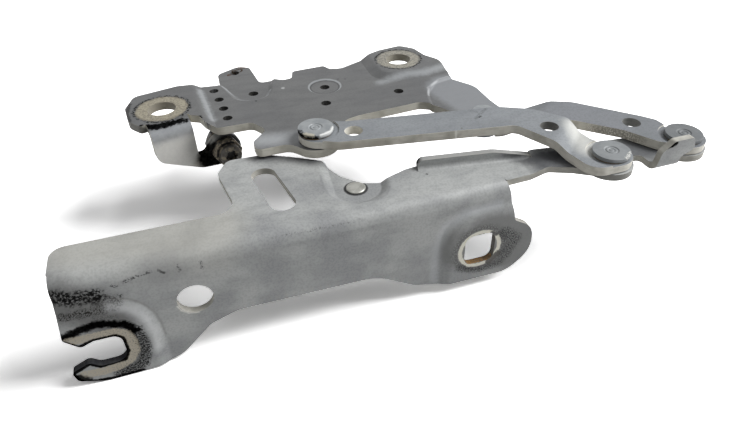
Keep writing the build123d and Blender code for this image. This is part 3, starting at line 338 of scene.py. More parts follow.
@dataclass
class Coat(Canvas):
    """Finish that is being laid: its layers so far, over the surface point in millimetres."""

    material: bpy.types.Material
    colour: Socket | str
    rough: Socket | float
    height: Socket | float = 0.0
    dull: Socket | float = 0.0
    point: Socket | None = None
    normal: Socket | None = None

    @classmethod
    def start(cls, name: str, colour: str, rough: float) -> "Coat":
        """Starts a finish on an empty material.

        Args:
            name: the finish's own name.
            colour: its ground colour as a hex value.
            rough: its even roughness, until a pattern takes its place.

        Returns:
            The coat, which knows the surface point in millimetres of the shared frame.
        """
        material = new_material(name)
        coat = cls(material.node_tree, material, colour, rough)
        place = coat.add("TexCoord", output="Object")
        coat.point = coat.add("VectorMath", {0: place, "Scale": PER_METRE}, operation="SCALE")
        return coat

    def show(self, pattern: Pattern) -> None:
        """Draws a pattern and lets the colour, the roughness and the relief follow it.

        Args:
            pattern: the pattern.
        """
        shade = pattern.draw(self)
        if pattern.colour:
            share = self.add("MapRange", (shade, *pattern.span, 0.0, pattern.share), **SMOOTH)
            self.colour = self.add("Mix", {0: share, 6: self.colour, 7: pattern.colour},
                                   **COLOUR_MIX)
        if pattern.swing is not None:
            ends = [self.rough + change for change in pattern.swing]
            self.rough = self.add("MapRange", (shade, *pattern.rough_span, *ends), **SMOOTH)
        if pattern.height:
            under = {} if self.normal is None else {"Normal": self.normal}
            self.normal = self.add("Bump", {"Height": shade, "Distance": pattern.height * MM,
                                            **under})

    def lay(self, patches: tuple[Patch, ...]) -> None:
        """Lays patches over the finish, in order, each dappled by its own grain.

        Args:
            patches: the patches.
        """
        for patch in patches:
            mask = patch.mask(self)
            dapple = self.add("TexNoise", {"Vector": self.point, "Detail": 4.0,
                                           "Scale": 1 / (DAPPLE_RATIO * patch.grain)})
            light = self.add("MapRange", (dapple, *DAPPLE), **SMOOTH)
            shown = self.add("Math", (mask, light), operation="MULTIPLY")
            self.colour = self.add("Mix", {0: shown, 6: self.colour, 7: patch.colour},
                                   **COLOUR_MIX)
            self.rough = self.add("Mix", {0: mask, 2: self.rough, 3: patch.roughness})
            if patch.matt:
                self.dull = self.add("Math", (self.dull, mask), operation="MAXIMUM")
            if patch.height:
                lump = self.add("Math", (mask, dapple), operation="MULTIPLY")
                self.height = self.add("Math", (lump, patch.height, self.height),
                                       operation="MULTIPLY_ADD")

    def finish(self, metallic: float) -> bpy.types.Material:
        """Closes the finish with its shader, and sets the patches' height on its relief.

        Args:
            metallic: share of metal in the finish.

        Returns:
            The material.
        """
        relief = self.add("Bump", {"Height": self.height, "Distance": MM,
                                   "Normal": self.normal})
        shader = self.add("BsdfPrincipled", {"Base Color": self.colour, "Normal": relief,
                                             "Roughness": self.rough, "Metallic": metallic})
        crust = self.add("BsdfDiffuse", {"Color": self.colour, "Normal": relief})
        both = self.add("MixShader", (self.dull, shader, crust))
        self.add("OutputMaterial", {"Surface": both})
        return self.material


@dataclass(frozen=True)
class Finish:
    """What all finishes have: an even ground, the patterns of their kind, and patches.

    colour is the ground's, and cloud is the one that the patterns bring up.
    """

    name: str
    colour: str
    cloud: str
    patches: tuple[Patch, ...] = ()
    metallic: float = 0.0
    roughness: float = 0.4

    def build(self) -> bpy.types.Material:
        """Lays the ground, the patterns and the patches, and closes the finish.

        Returns:
            The material.
        """
        coat = Coat.start(self.name, self.colour, self.roughness)
        for pattern in self.patterns():
            coat.show(pattern)
        coat.lay(self.patches)
        return coat.finish(self.metallic)

    def patterns(self) -> tuple[Pattern, ...]:
        """Gives the patterns of the finish's kind, the lowest first."""
        return ()


@dataclass(frozen=True)
class SatinPaint(Finish):
    """Silver-grey satin paint, sprayed over pressed steel and used for years.

    The eye gets a soft sheen from fine metal flake, the pressing's slight waves, faint cloudy
    mottling where it was handled, a fine grain, and the bare, greasy and rusty places that
    each part collected, with patches of painted shade, shadow and highlight among them. The
    grain is really finer than 0.9 mm, and is drawn as coarse as it needs to show.
    """

    metallic: float = 0.06
    roughness: float = 0.46
    fleck: str = "#26282a"

    def patterns(self) -> tuple[Pattern, ...]:
        """Gives the waves, the clouds, the smears and the fine grain.

        Returns:
            The patterns, the lowest first.
        """
        return (
            Pattern(16.0, detail=1.0, height=0.06),
            Pattern(24.0, self.cloud, (0.38, 0.66), detail=3.0),
            Pattern(5.0, self.cloud, (0.46, 0.70), 0.5, squeeze=(1 / 3, 1.0, 1.0),
                    rough_span=(0.35, 0.70), swing=(-0.04, 0.08)),
            Pattern(0.9, self.fleck, (0.42, 0.66), 0.16, detail=2.0, height=0.006),
        )


@dataclass(frozen=True)
class ShearedEdge(Finish):
    """Blanked edge of a steel sheet under thin paint.

    Blanking leaves a bright sheared band and a rough broken one, so the paint on it is
    paler, dusty and streaked along the sheet.
    """

    metallic: float = 0.05
    roughness: float = 0.62

    def patterns(self) -> tuple[Pattern, ...]:
        """Gives the stains and the streaks along the sheet.

        Returns:
            The patterns, the lowest first.
        """
        return (
            Pattern(8.0, self.cloud, (0.42, 0.74), 0.7),
            Pattern(0.9, self.cloud, (0.45, 0.75), 0.35, squeeze=(1 / 6, 1 / 6, 1.0),
                    height=0.04),
        )


@dataclass(frozen=True)
class TurnedMetal(Finish):
    """Turned or rolled steel or bronze with fine rings round its own axis.

    The tool leaves rings about a third of a millimetre apart, which catch the light as thin
    circles, and handling leaves darker clouds.
    """

    metallic: float = 1.0
    centre: Point = (0.0, 0.0, 0.0)

    def patterns(self) -> tuple[Pattern, ...]:
        """Gives the clouds and the rings.

        Returns:
            The patterns, the lowest first.
        """
        return (
            Pattern(4.0, self.cloud, (0.38, 0.68), 0.8, rough_span=(0.3, 0.7),
                    swing=(0.0, 0.15)),
            Pattern(0.35, self.cloud, share=0.08, centre=self.centre, height=0.004),
        )


@dataclass(frozen=True)
class OiledBlackSteel(Finish):
    """Blackened steel fastener under old grease, brown where the grease has dried.

    The grease stands up in lumps of a few millimetres, dull where it dried.
    """

    name: str = "oiled_black_steel"
    colour: str = "#252423"
    cloud: str = "#8b8171"
    metallic: float = 0.4
    roughness: float = 0.42

    def patterns(self) -> tuple[Pattern, ...]:
        """Gives the lumps of grease."""
        return (Pattern(2.4, self.cloud, (0.48, 0.66), 0.9, detail=5.0, height=0.10,
                        swing=(-0.08, 0.30)),)


def deselect_all() -> None:
    """Leaves edit mode and deselects every object."""
    if bpy.context.object and bpy.context.object.mode != "OBJECT":
        bpy.ops.object.mode_set(mode="OBJECT")
    bpy.ops.object.select_all(action="DESELECT")


def work_on(piece: bpy.types.Object) -> None:
    """Makes one piece the only selected and active object.

    Args:
        piece: the piece.
    """
    deselect_all()
    piece.select_set(True)
    bpy.context.view_layer.objects.active = piece


def select_where(kind: Element, test: Callable[[object], bool]) -> None:
    """Selects elements of the piece in edit mode.

    Args:
        kind: which elements are tested.
        test: says of an element whether it is selected.
    """
    bpy.ops.mesh.select_mode(type=kind.value)
    bpy.ops.mesh.select_all(action="DESELECT")
    data = bpy.context.edit_object.data
    mesh = bmesh.from_edit_mesh(data)
    for element in mesh.verts if kind is Element.VERTEX else mesh.faces:
        if test(element):
            element.select_set(True)
    mesh.select_flush_mode()
    bmesh.update_edit_mesh(data)


def apply_modifier(piece: bpy.types.Object, name: str, kind: str, **settings: object) -> None:
    """Adds one modifier to the active piece and applies it for good.

    Args:
        piece: the active piece.
        name: name of the modifier.
        kind: Blender's type name of the modifier.
        settings: the modifier's own properties.
    """
    modifier = piece.modifiers.new(name, kind)
    for key, value in settings.items():
        setattr(modifier, key, value)
    bpy.ops.object.modifier_apply(modifier=modifier.name)


def round_edges(piece: bpy.types.Object, width: float, segments: int = 2,
                angle: float = 40.0) -> None:
    """Rounds a piece's sharp edges and lets its large faces lead the smooth shading.

    Args:
        piece: the piece.
        width: width of the rounding in millimetres.
        segments: steps across it.
        angle: edges sharper than this many degrees are rounded.
    """
    work_on(piece)
    bpy.ops.object.shade_smooth()
    apply_modifier(piece, "rounding", "BEVEL", width=width * MM, segments=segments,
                   limit_method="ANGLE", angle_limit=math.radians(angle),
                   use_clamp_overlap=True)
    apply_modifier(piece, "large_faces_lead", "WEIGHTED_NORMAL", mode="FACE_AREA", weight=50,
                   keep_sharp=False)


def turn_piece(name: str, profile: list[Span], foot: Span = (0.0, 0.0)) -> bpy.types.Object:
    """Turns a round piece: each step is extruded from the last and sized to its radius.

    Args:
        name: the piece's name.
        profile: radius and level of each step in millimetres, in order.
        foot: X and Y of the axis in millimetres.

    Returns:
        The closed piece, with its axis along Z.
    """
    deselect_all()
    radius, level = profile[0]
    axis = (foot[0] * MM, foot[1] * MM, 0.0)
    bpy.ops.mesh.primitive_circle_add(vertices=ROUND_SIDES, radius=radius * MM,
                                      fill_type="NGON",
                                      location=(axis[0], axis[1], level * MM))
    piece = bpy.context.object
    piece.name = name
    bpy.ops.object.transform_apply(location=True, rotation=True, scale=True)
    bpy.ops.object.mode_set(mode="EDIT")
    bpy.ops.mesh.select_all(action="SELECT")
    for next_radius, next_level in profile[1:]:
        lift = (0.0, 0.0, (next_level - level) * MM)
        bpy.ops.mesh.extrude_region_move(TRANSFORM_OT_translate={"value": lift})
        ratio = next_radius / radius
        bpy.ops.transform.resize(value=(ratio, ratio, 1.0), center_override=axis)
        radius, level = next_radius, next_level
    bpy.ops.mesh.select_all(action="SELECT")
    bpy.ops.mesh.normals_make_consistent(inside=False)
    bpy.ops.object.mode_set(mode="OBJECT")
    return piece


def carve(piece: bpy.types.Object, tool: bpy.types.Object, operation: str) -> None:
    """Carves a piece with a tool solid, which is then removed.

    Args:
        piece: the piece.
        tool: the tool solid.
        operation: Blender's name of the boolean operation.
    """
    work_on(piece)
    apply_modifier(piece, "carving", "BOOLEAN", object=tool, operation=operation,
                   solver="EXACT")
    bpy.data.objects.remove(tool, do_unlink=True)


def hand_over(piece: bpy.types.Object, body: Body, slot: Slot, *nodes: str) -> None:
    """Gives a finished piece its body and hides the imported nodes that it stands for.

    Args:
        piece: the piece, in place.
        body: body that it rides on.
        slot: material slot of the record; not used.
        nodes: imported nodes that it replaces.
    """
    piece.data.name = piece.name
    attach(piece, body.value)
    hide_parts(*nodes)
    LOG.info("%s: %d faces on %s", piece.name, len(piece.data.polygons), body.value)


def dress(node: str, finish: bpy.types.Material) -> None:
    """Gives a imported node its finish.

    Args:
        node: the node's name.
        finish: its material.
    """
    piece = frame["nodes"][node]
    if piece.material_slots:
        for holder in piece.material_slots:
            holder.material = finish
    else:
        piece.data.materials.append(finish)
    LOG.info("%s dressed in %s", node, finish.name)


@dataclass
class Pressing:
    """A pressed steel sheet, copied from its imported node, with its rims rounded as blanked.

    Lengths are in millimetres, and flat_angle, under which faces count as one, in degrees.
    """

    node: str
    body: Body
    slot: Slot
    sheet: float
    paint: SatinPaint
    edge: ShearedEdge
    rim: float = 0.35
    cut_ratio: float = 1.25
    upright: float = 0.3
    lies_flat: bool = False
    weld: float = 0.002
    flat_angle: float = 0.4
    skin: float = 0.01

    def build(self) -> bpy.types.Object:
        """Copies, merges, rounds and dresses the pressing.

        Returns:
            The finished piece.
        """
        work_on(frame["nodes"][self.node])
        bpy.ops.object.duplicate()
        piece = bpy.context.object
        piece.name = self.node + "_pressed"
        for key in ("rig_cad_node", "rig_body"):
            del piece[key]
        piece.parent = None
        work_on(piece)
        bpy.ops.object.mode_set(mode="EDIT")
        bpy.ops.mesh.select_all(action="SELECT")
        bpy.ops.mesh.remove_doubles(threshold=self.weld * MM)
        bpy.ops.mesh.dissolve_limited(angle_limit=math.radians(self.flat_angle))
        bpy.ops.mesh.normals_make_consistent(inside=False)
        bpy.ops.object.mode_set(mode="OBJECT")
        piece.data.materials.clear()
        piece.data.materials.append(self.paint.build())
        piece.data.materials.append(self.edge.build())
        self.part_surfaces(piece)
        round_edges(piece, self.rim)
        hand_over(piece, self.body, self.slot, self.node)
        return piece

    def part_surfaces(self, piece: bpy.types.Object) -> None:
        """Marks the faces that are cut across the sheet.

        A ray from a face into the metal leaves a sheet face after about the sheet's thickness
        and goes on longer behind a cut edge. On a pressing that lies flat, the upright faces
        are the cut ones.

        Args:
            piece: the merged copy.
        """
        mesh = bmesh.new()
        mesh.from_mesh(piece.data)
        mesh.normal_update()
        tree = BVHTree.FromBMesh(mesh)
        for face in mesh.faces:
            inward = -face.normal
            start = self.inside(face) + inward * self.skin * MM
            _, _, _, depth = tree.ray_cast(start, inward)
            across = depth is not None and depth > self.cut_ratio * self.sheet * MM
            if self.lies_flat:
                across = abs(face.normal.z) < self.upright
            face.material_index = Surface.CUT_EDGE.value if across else Surface.SHEET.value
        mesh.to_mesh(piece.data)
        mesh.free()

    @staticmethod
    def inside(face: bmesh.types.BMFace) -> Vector:
        """Finds a point that surely lies on a face, however bent its outline is.

        Args:
            face: the face.

        Returns:
            The middle of the largest triangle of the face.
        """
        places = [vertex.co for vertex in face.verts]
        if len(places) <= 4:
            return face.calc_center_median()
        best, area = places[0], 0.0
        for triple in tessellate_polygon([places]):
            a, b, c = (places[index] for index in triple)
            size = (b - a).cross(c - a).length
            if size > area:
                best, area = (a + b + c) / 3, size
        return best


@dataclass
class RivetPins:
    """The four rivet pins: a coined head with a ring and a pip, and a peened end.

    Lengths are in millimetres. peening and coining hold the radius of each step and its depth
    below the peened end and below the head's top, where a ring and a pip are pressed in.
    """

    head_height: float = 1.8
    head_crown: float = 0.05
    shank_radius: float = 4.0
    peen_radius: float = 5.25
    peen_height: float = 0.9
    peening: tuple[Span, ...] = ((2.3625, 0.25), (2.8875, 0.0), (5.25, 0.0))
    coining: tuple[Span, ...] = ((3.15, 0.0), (2.9, 0.35), (2.45, 0.35), (2.2, 0.04),
                                 (1.5, 0.08), (1.2, 0.35), (0.72, 0.02), (0.3, 0.10))
    rounding: float = 0.25
    round_angle: float = 50.0
    nodes: dict[str, Body] = field(default_factory=lambda: {
        "front_bracket_pin": Body.BRACKET,
        "rear_bracket_pin": Body.BRACKET,
        "front_bonnet_pin": Body.BONNET_SIDE,
        "rear_bonnet_pin": Body.BONNET_SIDE,
    })
    head_down: str = "rear_bonnet_pin"
    marks: dict[str, tuple[Patch, ...]] = field(default_factory=dict)

    def build(self) -> list[bpy.types.Object]:
        """Turns and places the pins.

        Returns:
            The four pins.
        """
        return [self.one_pin(node, body) for node, body in self.nodes.items()]

    def one_pin(self, node: str, body: Body) -> bpy.types.Object:
        """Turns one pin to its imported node's place and length.

        Args:
            node: the node that it replaces.
            body: body that it rides on.

        Returns:
            The pin.
        """
        low, high = (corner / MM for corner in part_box(node))
        centre = ((low.x + high.x) / 2, (low.y + high.y) / 2)
        head_radius = (high.x - low.x) / 2
        side = -1 if node == self.head_down else 1
        peen_end, top = (low.z, high.z) if side > 0 else (high.z, low.z)
        seat = top - side * self.head_height
        peen = peen_end + side * self.peen_height
        profile = [
            *((radius, peen_end + side * depth) for radius, depth in self.peening),
            (self.peen_radius, peen),
            (self.shank_radius, peen),
            (self.shank_radius, seat),
            (head_radius, seat),
            (head_radius, top - side * self.head_crown),
            *((radius, top - side * depth) for radius, depth in self.coining),
        ]
        piece = turn_piece(node + "_riveted", profile, foot=centre)
        finish = TurnedMetal("painted_rivet_" + node, "#94989a", "#818588",
                             self.marks.get(node, ()), 0.10, 0.42, centre=(*centre, top))
        piece.data.materials.append(finish.build())
        round_edges(piece, self.rounding, 3, self.round_angle)
        hand_over(piece, body, Slot.PIN_PAINT, node)
        return piece


@dataclass
class StopFasteners:
    """The stop screw in the bent-down ear, with its lock nut and its welded nut.

    Lengths are in millimetres, and levels are measured outward from the foot, which is where
    the screw's axis leaves the ear. The axis lies in the XY plane, turned by heading degrees.
    crest and groove are shares of the thread's pitch.
    """

    foot: Point = (-95.959, 94.701, 16.5)
    heading: float = 13.5
    sheet: float = 4.0
    radius: float = 4.0
    root: float = 3.4
    pitch: float = 1.25
    crest: Span = (0.40, 0.55)
    groove: float = 0.95
    thread_start: float = 0.8
    plain_pitches: float = 1.5
    tail_radius: float = 2.38
    tail_chamfer: float = 0.5
    head_radius: float = 5.5
    head_start: float = 5.5
    head_end: float = 9.0
    head_chamfer: Span = (0.8, 0.6)
    tail_end: float = -13.5
    recess_radius: float = 3.0
    recess_depth: float = 2.2
    lobes: int = 6
    nut_across: float = 13.0
    nut_round: float = 7.3
    lock_nut: float = 5.0
    weld_nut: float = 6.5
    nut_bevel: float = 0.3
    nut_slope: float = 0.58
    nut_overlap: float = 0.01
    bore_overlap: float = 1.0
    valley: float = 0.78
    valley_share: float = 0.2
    pick_margin: Span = (0.05, 0.01)
    middle: float = 0.1
    rounding: float = 0.18
    round_angle: float = 35.0
    slack: float = 0.02

    def build(self, screw: bpy.types.Material, nut: bpy.types.Material) -> None:
        """Builds the screw and both nuts.

        Args:
            screw: the screw's finish.
            nut: the nuts' finish.
        """
        nuts = [
            self.nut("stop_lock_nut", 0.0, self.lock_nut),
            self.nut("stop_weld_nut", -self.sheet - self.weld_nut, -self.sheet),
        ]
        for piece, node in [(self.screw(), "stop_screw"), *nuts]:
            self.place(piece)
            piece.data.materials.append(screw if node == "stop_screw" else nut)
            round_edges(piece, self.rounding, 2, self.round_angle)
            hand_over(piece, Body.BONNET_SIDE, Slot.BLACK_STEEL, node)

    def place(self, piece: bpy.types.Object) -> None:
        """Lays a piece turned about Z along the ear's axis, with its top to the viewer.

        Args:
            piece: the piece.
        """
        work_on(piece)
        tilt = Quaternion((1, 0, 0), math.radians(90))
        turn = Quaternion((0, 0, 1), math.radians(self.heading))
        piece.rotation_mode = "QUATERNION"
        piece.rotation_quaternion = turn @ tilt
        piece.location = Vector(self.foot) * MM
        bpy.ops.object.transform_apply(location=True, rotation=True, scale=True)

    def screw(self) -> bpy.types.Object:
        """Turns the screw with its rolled thread and presses the lobed recess into its head.

        Returns:
            The screw, with its axis along Z.
        """
        profile = [(self.tail_radius, self.tail_end),
                   (self.root, self.tail_end + self.tail_chamfer)]
        level = self.tail_end + self.thread_start
        while level < self.head_start - self.plain_pitches * self.pitch:
            profile += [(self.radius, level + share * self.pitch) for share in self.crest]
            profile.append((self.root, level + self.groove * self.pitch))
            level += self.pitch
        inset, depth = self.head_chamfer
        profile += [
            (self.root, self.head_start),
            (self.head_radius, self.head_start),
            (self.head_radius, self.head_end - depth),
            (self.head_radius - inset, self.head_end),
            (self.recess_radius, self.head_end),
        ]
        piece = turn_piece("stop_screw_turned", profile)
        self.press_recess(piece)
        return piece

    def press_recess(self, piece: bpy.types.Object) -> None:
        """Draws the head's inner circle in between the lobes and pushes it down.

        Args:
            piece: the screw, with its axis along Z.
        """
        beyond, below = self.pick_margin
        top = (self.head_end - below) * MM
        rim = (self.recess_radius + beyond) * MM
        step = math.tau / self.lobes

        def in_valley(vertex: bmesh.types.BMVert) -> bool:
            """Says whether a vertex of the inner circle lies between two lobes.

            Args:
                vertex: the vertex.

            Returns:
                True if it does.
            """
            place = vertex.co
            turn = math.atan2(place.y, place.x) % step
            between = abs(turn - step / 2) < self.valley_share * step
            return between and place.z > top and place.xy.length < rim

        work_on(piece)
        bpy.ops.object.mode_set(mode="EDIT")
        select_where(Element.VERTEX, in_valley)
        bpy.ops.transform.resize(value=(self.valley, self.valley, 1.0),
                                 center_override=(0, 0, 0))
        select_where(Element.FACE, lambda face: face.calc_center_median().z > top
                     and face.calc_center_median().xy.length < self.middle * MM)
        drop = (0.0, 0.0, -self.recess_depth * MM)
        bpy.ops.mesh.extrude_region_move(TRANSFORM_OT_translate={"value": drop})
        bpy.ops.object.mode_set(mode="OBJECT")

    def nut(self, node: str, low: float, high: float) -> tuple[bpy.types.Object, str]:
        """Cuts a hexagon nut with turned corners and a bore.

        Args:
            node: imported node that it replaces.
            low: level of its lower face along the axis.
            high: level of its upper face.

        Returns:
            The nut, with its axis along Z, and the node.
        """
        deselect_all()
        corner = self.nut_across / 2 / math.cos(math.pi / 6)
        bpy.ops.mesh.primitive_cylinder_add(
            vertices=6, radius=corner * MM, depth=(high - low) * MM,
            location=(0, 0, (low + high) / 2 * MM), rotation=(0, 0, math.pi / 6))
        piece = bpy.context.object
        piece.name = node + "_cut"
        bpy.ops.object.transform_apply(location=True, rotation=True, scale=True)
        face = self.nut_across / 2 - self.nut_bevel
        drop = self.nut_slope * (self.nut_round - face)
        blank = turn_piece("nut_blank", [
            (face, low - self.nut_overlap),
            (self.nut_round, low + drop),
            (self.nut_round, high - drop),
            (face, high + self.nut_overlap),
        ])
        carve(piece, blank, "INTERSECT")
        bore_radius = self.radius + self.slack
        bore = turn_piece("nut_bore", [(bore_radius, low - self.bore_overlap),
                                       (bore_radius, high + self.bore_overlap)])
        carve(piece, bore, "DIFFERENCE")
        return piece, node


@dataclass
class StrutStud:
    """Ball stud for the gas strut, peened into the bracket's dish.

    Lengths are in millimetres. peening holds the radius of each step and its depth below the
    top, and flat_angle, in radians, is the half width of the flat on the ball.
    """

    node: str = "strut_ball_stud"
    ball_radius: float = 5.0
    neck_radius: float = 3.0
    collar_radius: float = 7.0
    shank_radius: float = 3.5
    collar_low: float = 22.0
    collar_high: float = 25.0
    dish_top: float = 28.0
    neck_fillet: float = 0.8
    peening: tuple[Span, ...] = ((4.2, 0.35), (3.7, 0.0), (1.4, 0.05), (0.7, 0.15))
    steps: int = 14
    flat_angle: float = 0.12
    rounding: float = 0.15
    round_angle: float = 50.0

    def build(self, finish: bpy.types.Material) -> bpy.types.Object:
        """Turns the stud from its ball to its peened end.

        Args:
            finish: the stud's finish.

        Returns:
            The stud.
        """
        low, high = (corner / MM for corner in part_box(self.node))
        centre = ((low.x + high.x) / 2, (low.y + high.y) / 2)
        ball = low.z + self.ball_radius
        last = math.pi - math.asin(self.neck_radius / self.ball_radius)
        sweep = last - self.flat_angle
        angles = [self.flat_angle + sweep * step / self.steps for step in range(self.steps + 1)]
        profile = [(self.ball_radius * math.sin(a), ball - self.ball_radius * math.cos(a))
                   for a in angles]
        profile += [
            (self.neck_radius, self.collar_low - self.neck_fillet),
            (self.neck_radius + self.neck_fillet, self.collar_low),
            (self.collar_radius, self.collar_low),
            (self.collar_radius, self.collar_high),
            (self.shank_radius, self.collar_high),
            (self.shank_radius, self.dish_top),
            (self.peening[0][0], self.dish_top),
            *((radius, high.z - depth) for radius, depth in self.peening),
        ]
        piece = turn_piece(self.node + "_turned", profile, foot=centre)
        piece.data.materials.append(finish)
        round_edges(piece, self.rounding, 2, self.round_angle)
        hand_over(piece, Body.BRACKET, Slot.ZINC_STEEL, self.node)
        return piece


@dataclass
class Studio:
    """Plain white floor, soft light and the photograph's camera.

    Places and sizes are in metres, apart from floor_drop, lens and sensor in millimetres.
    """

    floor_drop: float = 0.1
    floor_size: float = 2.6
    ambient: float = 0.26
    key_power: float = 72.0
    key_place: Point = (1.72, -0.30, 1.78)
    key_size: float = 1.3
    key_aim: Point = (-0.02, 0.06, 0.0)
    camera_place: Point = (-0.1042, -0.1795, 0.1792)
    heading: float = 17.43
    pitch: float = 37.96
    roll: float = -1.309
    lens: float = 29.47
    sensor: float = 36.0
    near_clip: float = 0.01

    def build(self) -> None:
        """Builds the floor, the lights and the camera."""
        low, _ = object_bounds()
        self.lay_floor(low.z - self.floor_drop * MM)
        self.light_world()
        self.hang_key()
        self.set_camera()
        bpy.context.scene.view_settings.view_transform = "Standard"

    def lay_floor(self, level: float) -> None:
        """Lays a floor that lights the object as grey paper and is seen as white paper.

        Args:
            level: height of the floor in metres.
        """
        deselect_all()
        bpy.ops.mesh.primitive_plane_add(size=self.floor_size, location=(0, 0, level))
        floor = bpy.context.object
        floor.name = "studio_floor"
        material = new_material("pale_studio_floor")
        canvas = Canvas(material.node_tree)
        grey = canvas.add("BsdfDiffuse", {"Color": "#7c7c7c"})
        white = canvas.add("BsdfDiffuse", {"Color": "#fbfbfb"})
        extra = canvas.add("BsdfDiffuse", {"Color": "#ffffff"})
        bright = canvas.add("AddShader", (white, extra))
        both = canvas.add("MixShader", (self.seen_directly(canvas), grey, bright))
        canvas.add("OutputMaterial", {"Surface": both})
        floor.data.materials.append(material)
        floor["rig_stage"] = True

    @staticmethod
    def seen_directly(canvas: Canvas) -> Socket:
        """Tells the rays that show the background from the rays that light the object.

        Args:
            canvas: node tree of the floor or the world.

        Returns:
            Socket that is 1 for camera, glossy and transmission rays.
        """
        rays = canvas.add("LightPath").node.outputs
        mirrored = canvas.add("Math", (rays["Is Camera Ray"], rays["Is Glossy Ray"]),
                              operation="ADD")
        return canvas.add("Math", (mirrored, rays["Is Transmission Ray"]), operation="ADD",
                          use_clamp=True)

    def light_world(self) -> None:
        """Lights the object evenly and shows white behind it."""
        world = bpy.data.worlds.new("studio_world")
        bpy.context.scene.world = world
        world.use_nodes = True
        world.node_tree.nodes.clear()
        canvas = Canvas(world.node_tree)
        seen = self.seen_directly(canvas)
        strength = canvas.add("MapRange", {"Value": seen, "To Min": self.ambient,
                                           "To Max": 1.0})
        light = canvas.add("Background", {"Color": "#ffffff", "Strength": strength})
        canvas.add("OutputWorld", {"Surface": light})

    def hang_key(self) -> None:
        """Hangs one soft box high on the right, a little to the front."""
        deselect_all()
        bpy.ops.object.light_add(type="AREA", location=self.key_place)
        key = bpy.context.object
        key.name = "soft_box"
        key.data.shape = "SQUARE"
        key.data.size = self.key_size
        key.data.energy = self.key_power
        aim = Vector(self.key_aim) - key.location
        key.rotation_mode = "QUATERNION"
        key.rotation_quaternion = aim.to_track_quat("-Z", "Y")

    def set_camera(self) -> None:
        """Sets the camera where the photograph was taken."""
        data = bpy.data.cameras.new("photo_camera")
        camera = bpy.data.objects.new("photo_camera", data)
        bpy.context.scene.collection.objects.link(camera)
        data.sensor_width = self.sensor
        data.lens = self.lens
        data.clip_start = self.near_clip
        camera.location = self.camera_place
        camera.rotation_mode = "QUATERNION"
        turn = Quaternion((0, 0, 1), math.radians(-self.heading))
        tilt = Quaternion((1, 0, 0), math.radians(90 - self.pitch))
        lean = Quaternion((0, 0, 1), math.radians(self.roll))
        camera.rotation_quaternion = turn @ tilt @ lean
        bpy.context.scene.camera = camera


# Colours of wear: old grease, thin dirt and rust
GREASE = "#060606"
SOOT = "#333334"
RUST = "#4c2d12"

# Places that several patches of wear and of painted light share, and the long paths round the hook
REAR_SEAT = (0.0, 0.0, 0.0)
FRONT_BOLT = (-121.7, 107, 37.4)
REAR_BOLT = (5.5, 120.9, 37.4)
PLATE_EYE = (-40.1, 106.9, 35.4)
HOOK_BAND = ((-168.5, 0, 2.9), (-161, 0, 2.6), (-152.1, 0, 2.4), (-148.6, 0, 0.2),
             (-147.6, 0, -4), (-147.8, 0, -9.5), (-150.6, 0, -13.9), (-155, 0, -16.2),
             (-161, 0, -17.1), (-168.2, 0, -16.4))
HOOK_RIM = ((-170.6, 0, 3.2), (-165.8, 0, -1.4), (-163, 0, -0.3), (-160, 0, 0.5),
            (-152.6, 0, 0.3), (-150.6, 0, -1.6), (-150.5, 0, -9), (-152.5, 0, -13),
            (-161.5, 0, -13.7), (-165, 0, -10.8), (-171.8, 0, -14))
HOOK_FOOT = ((-172.6, 0, -14.6), (-172, 0, -17.6), (-170.5, 0, -20.4), (-165, 0, -22.2),
             (-158, 0, -23), (-148, 0, -22.6))
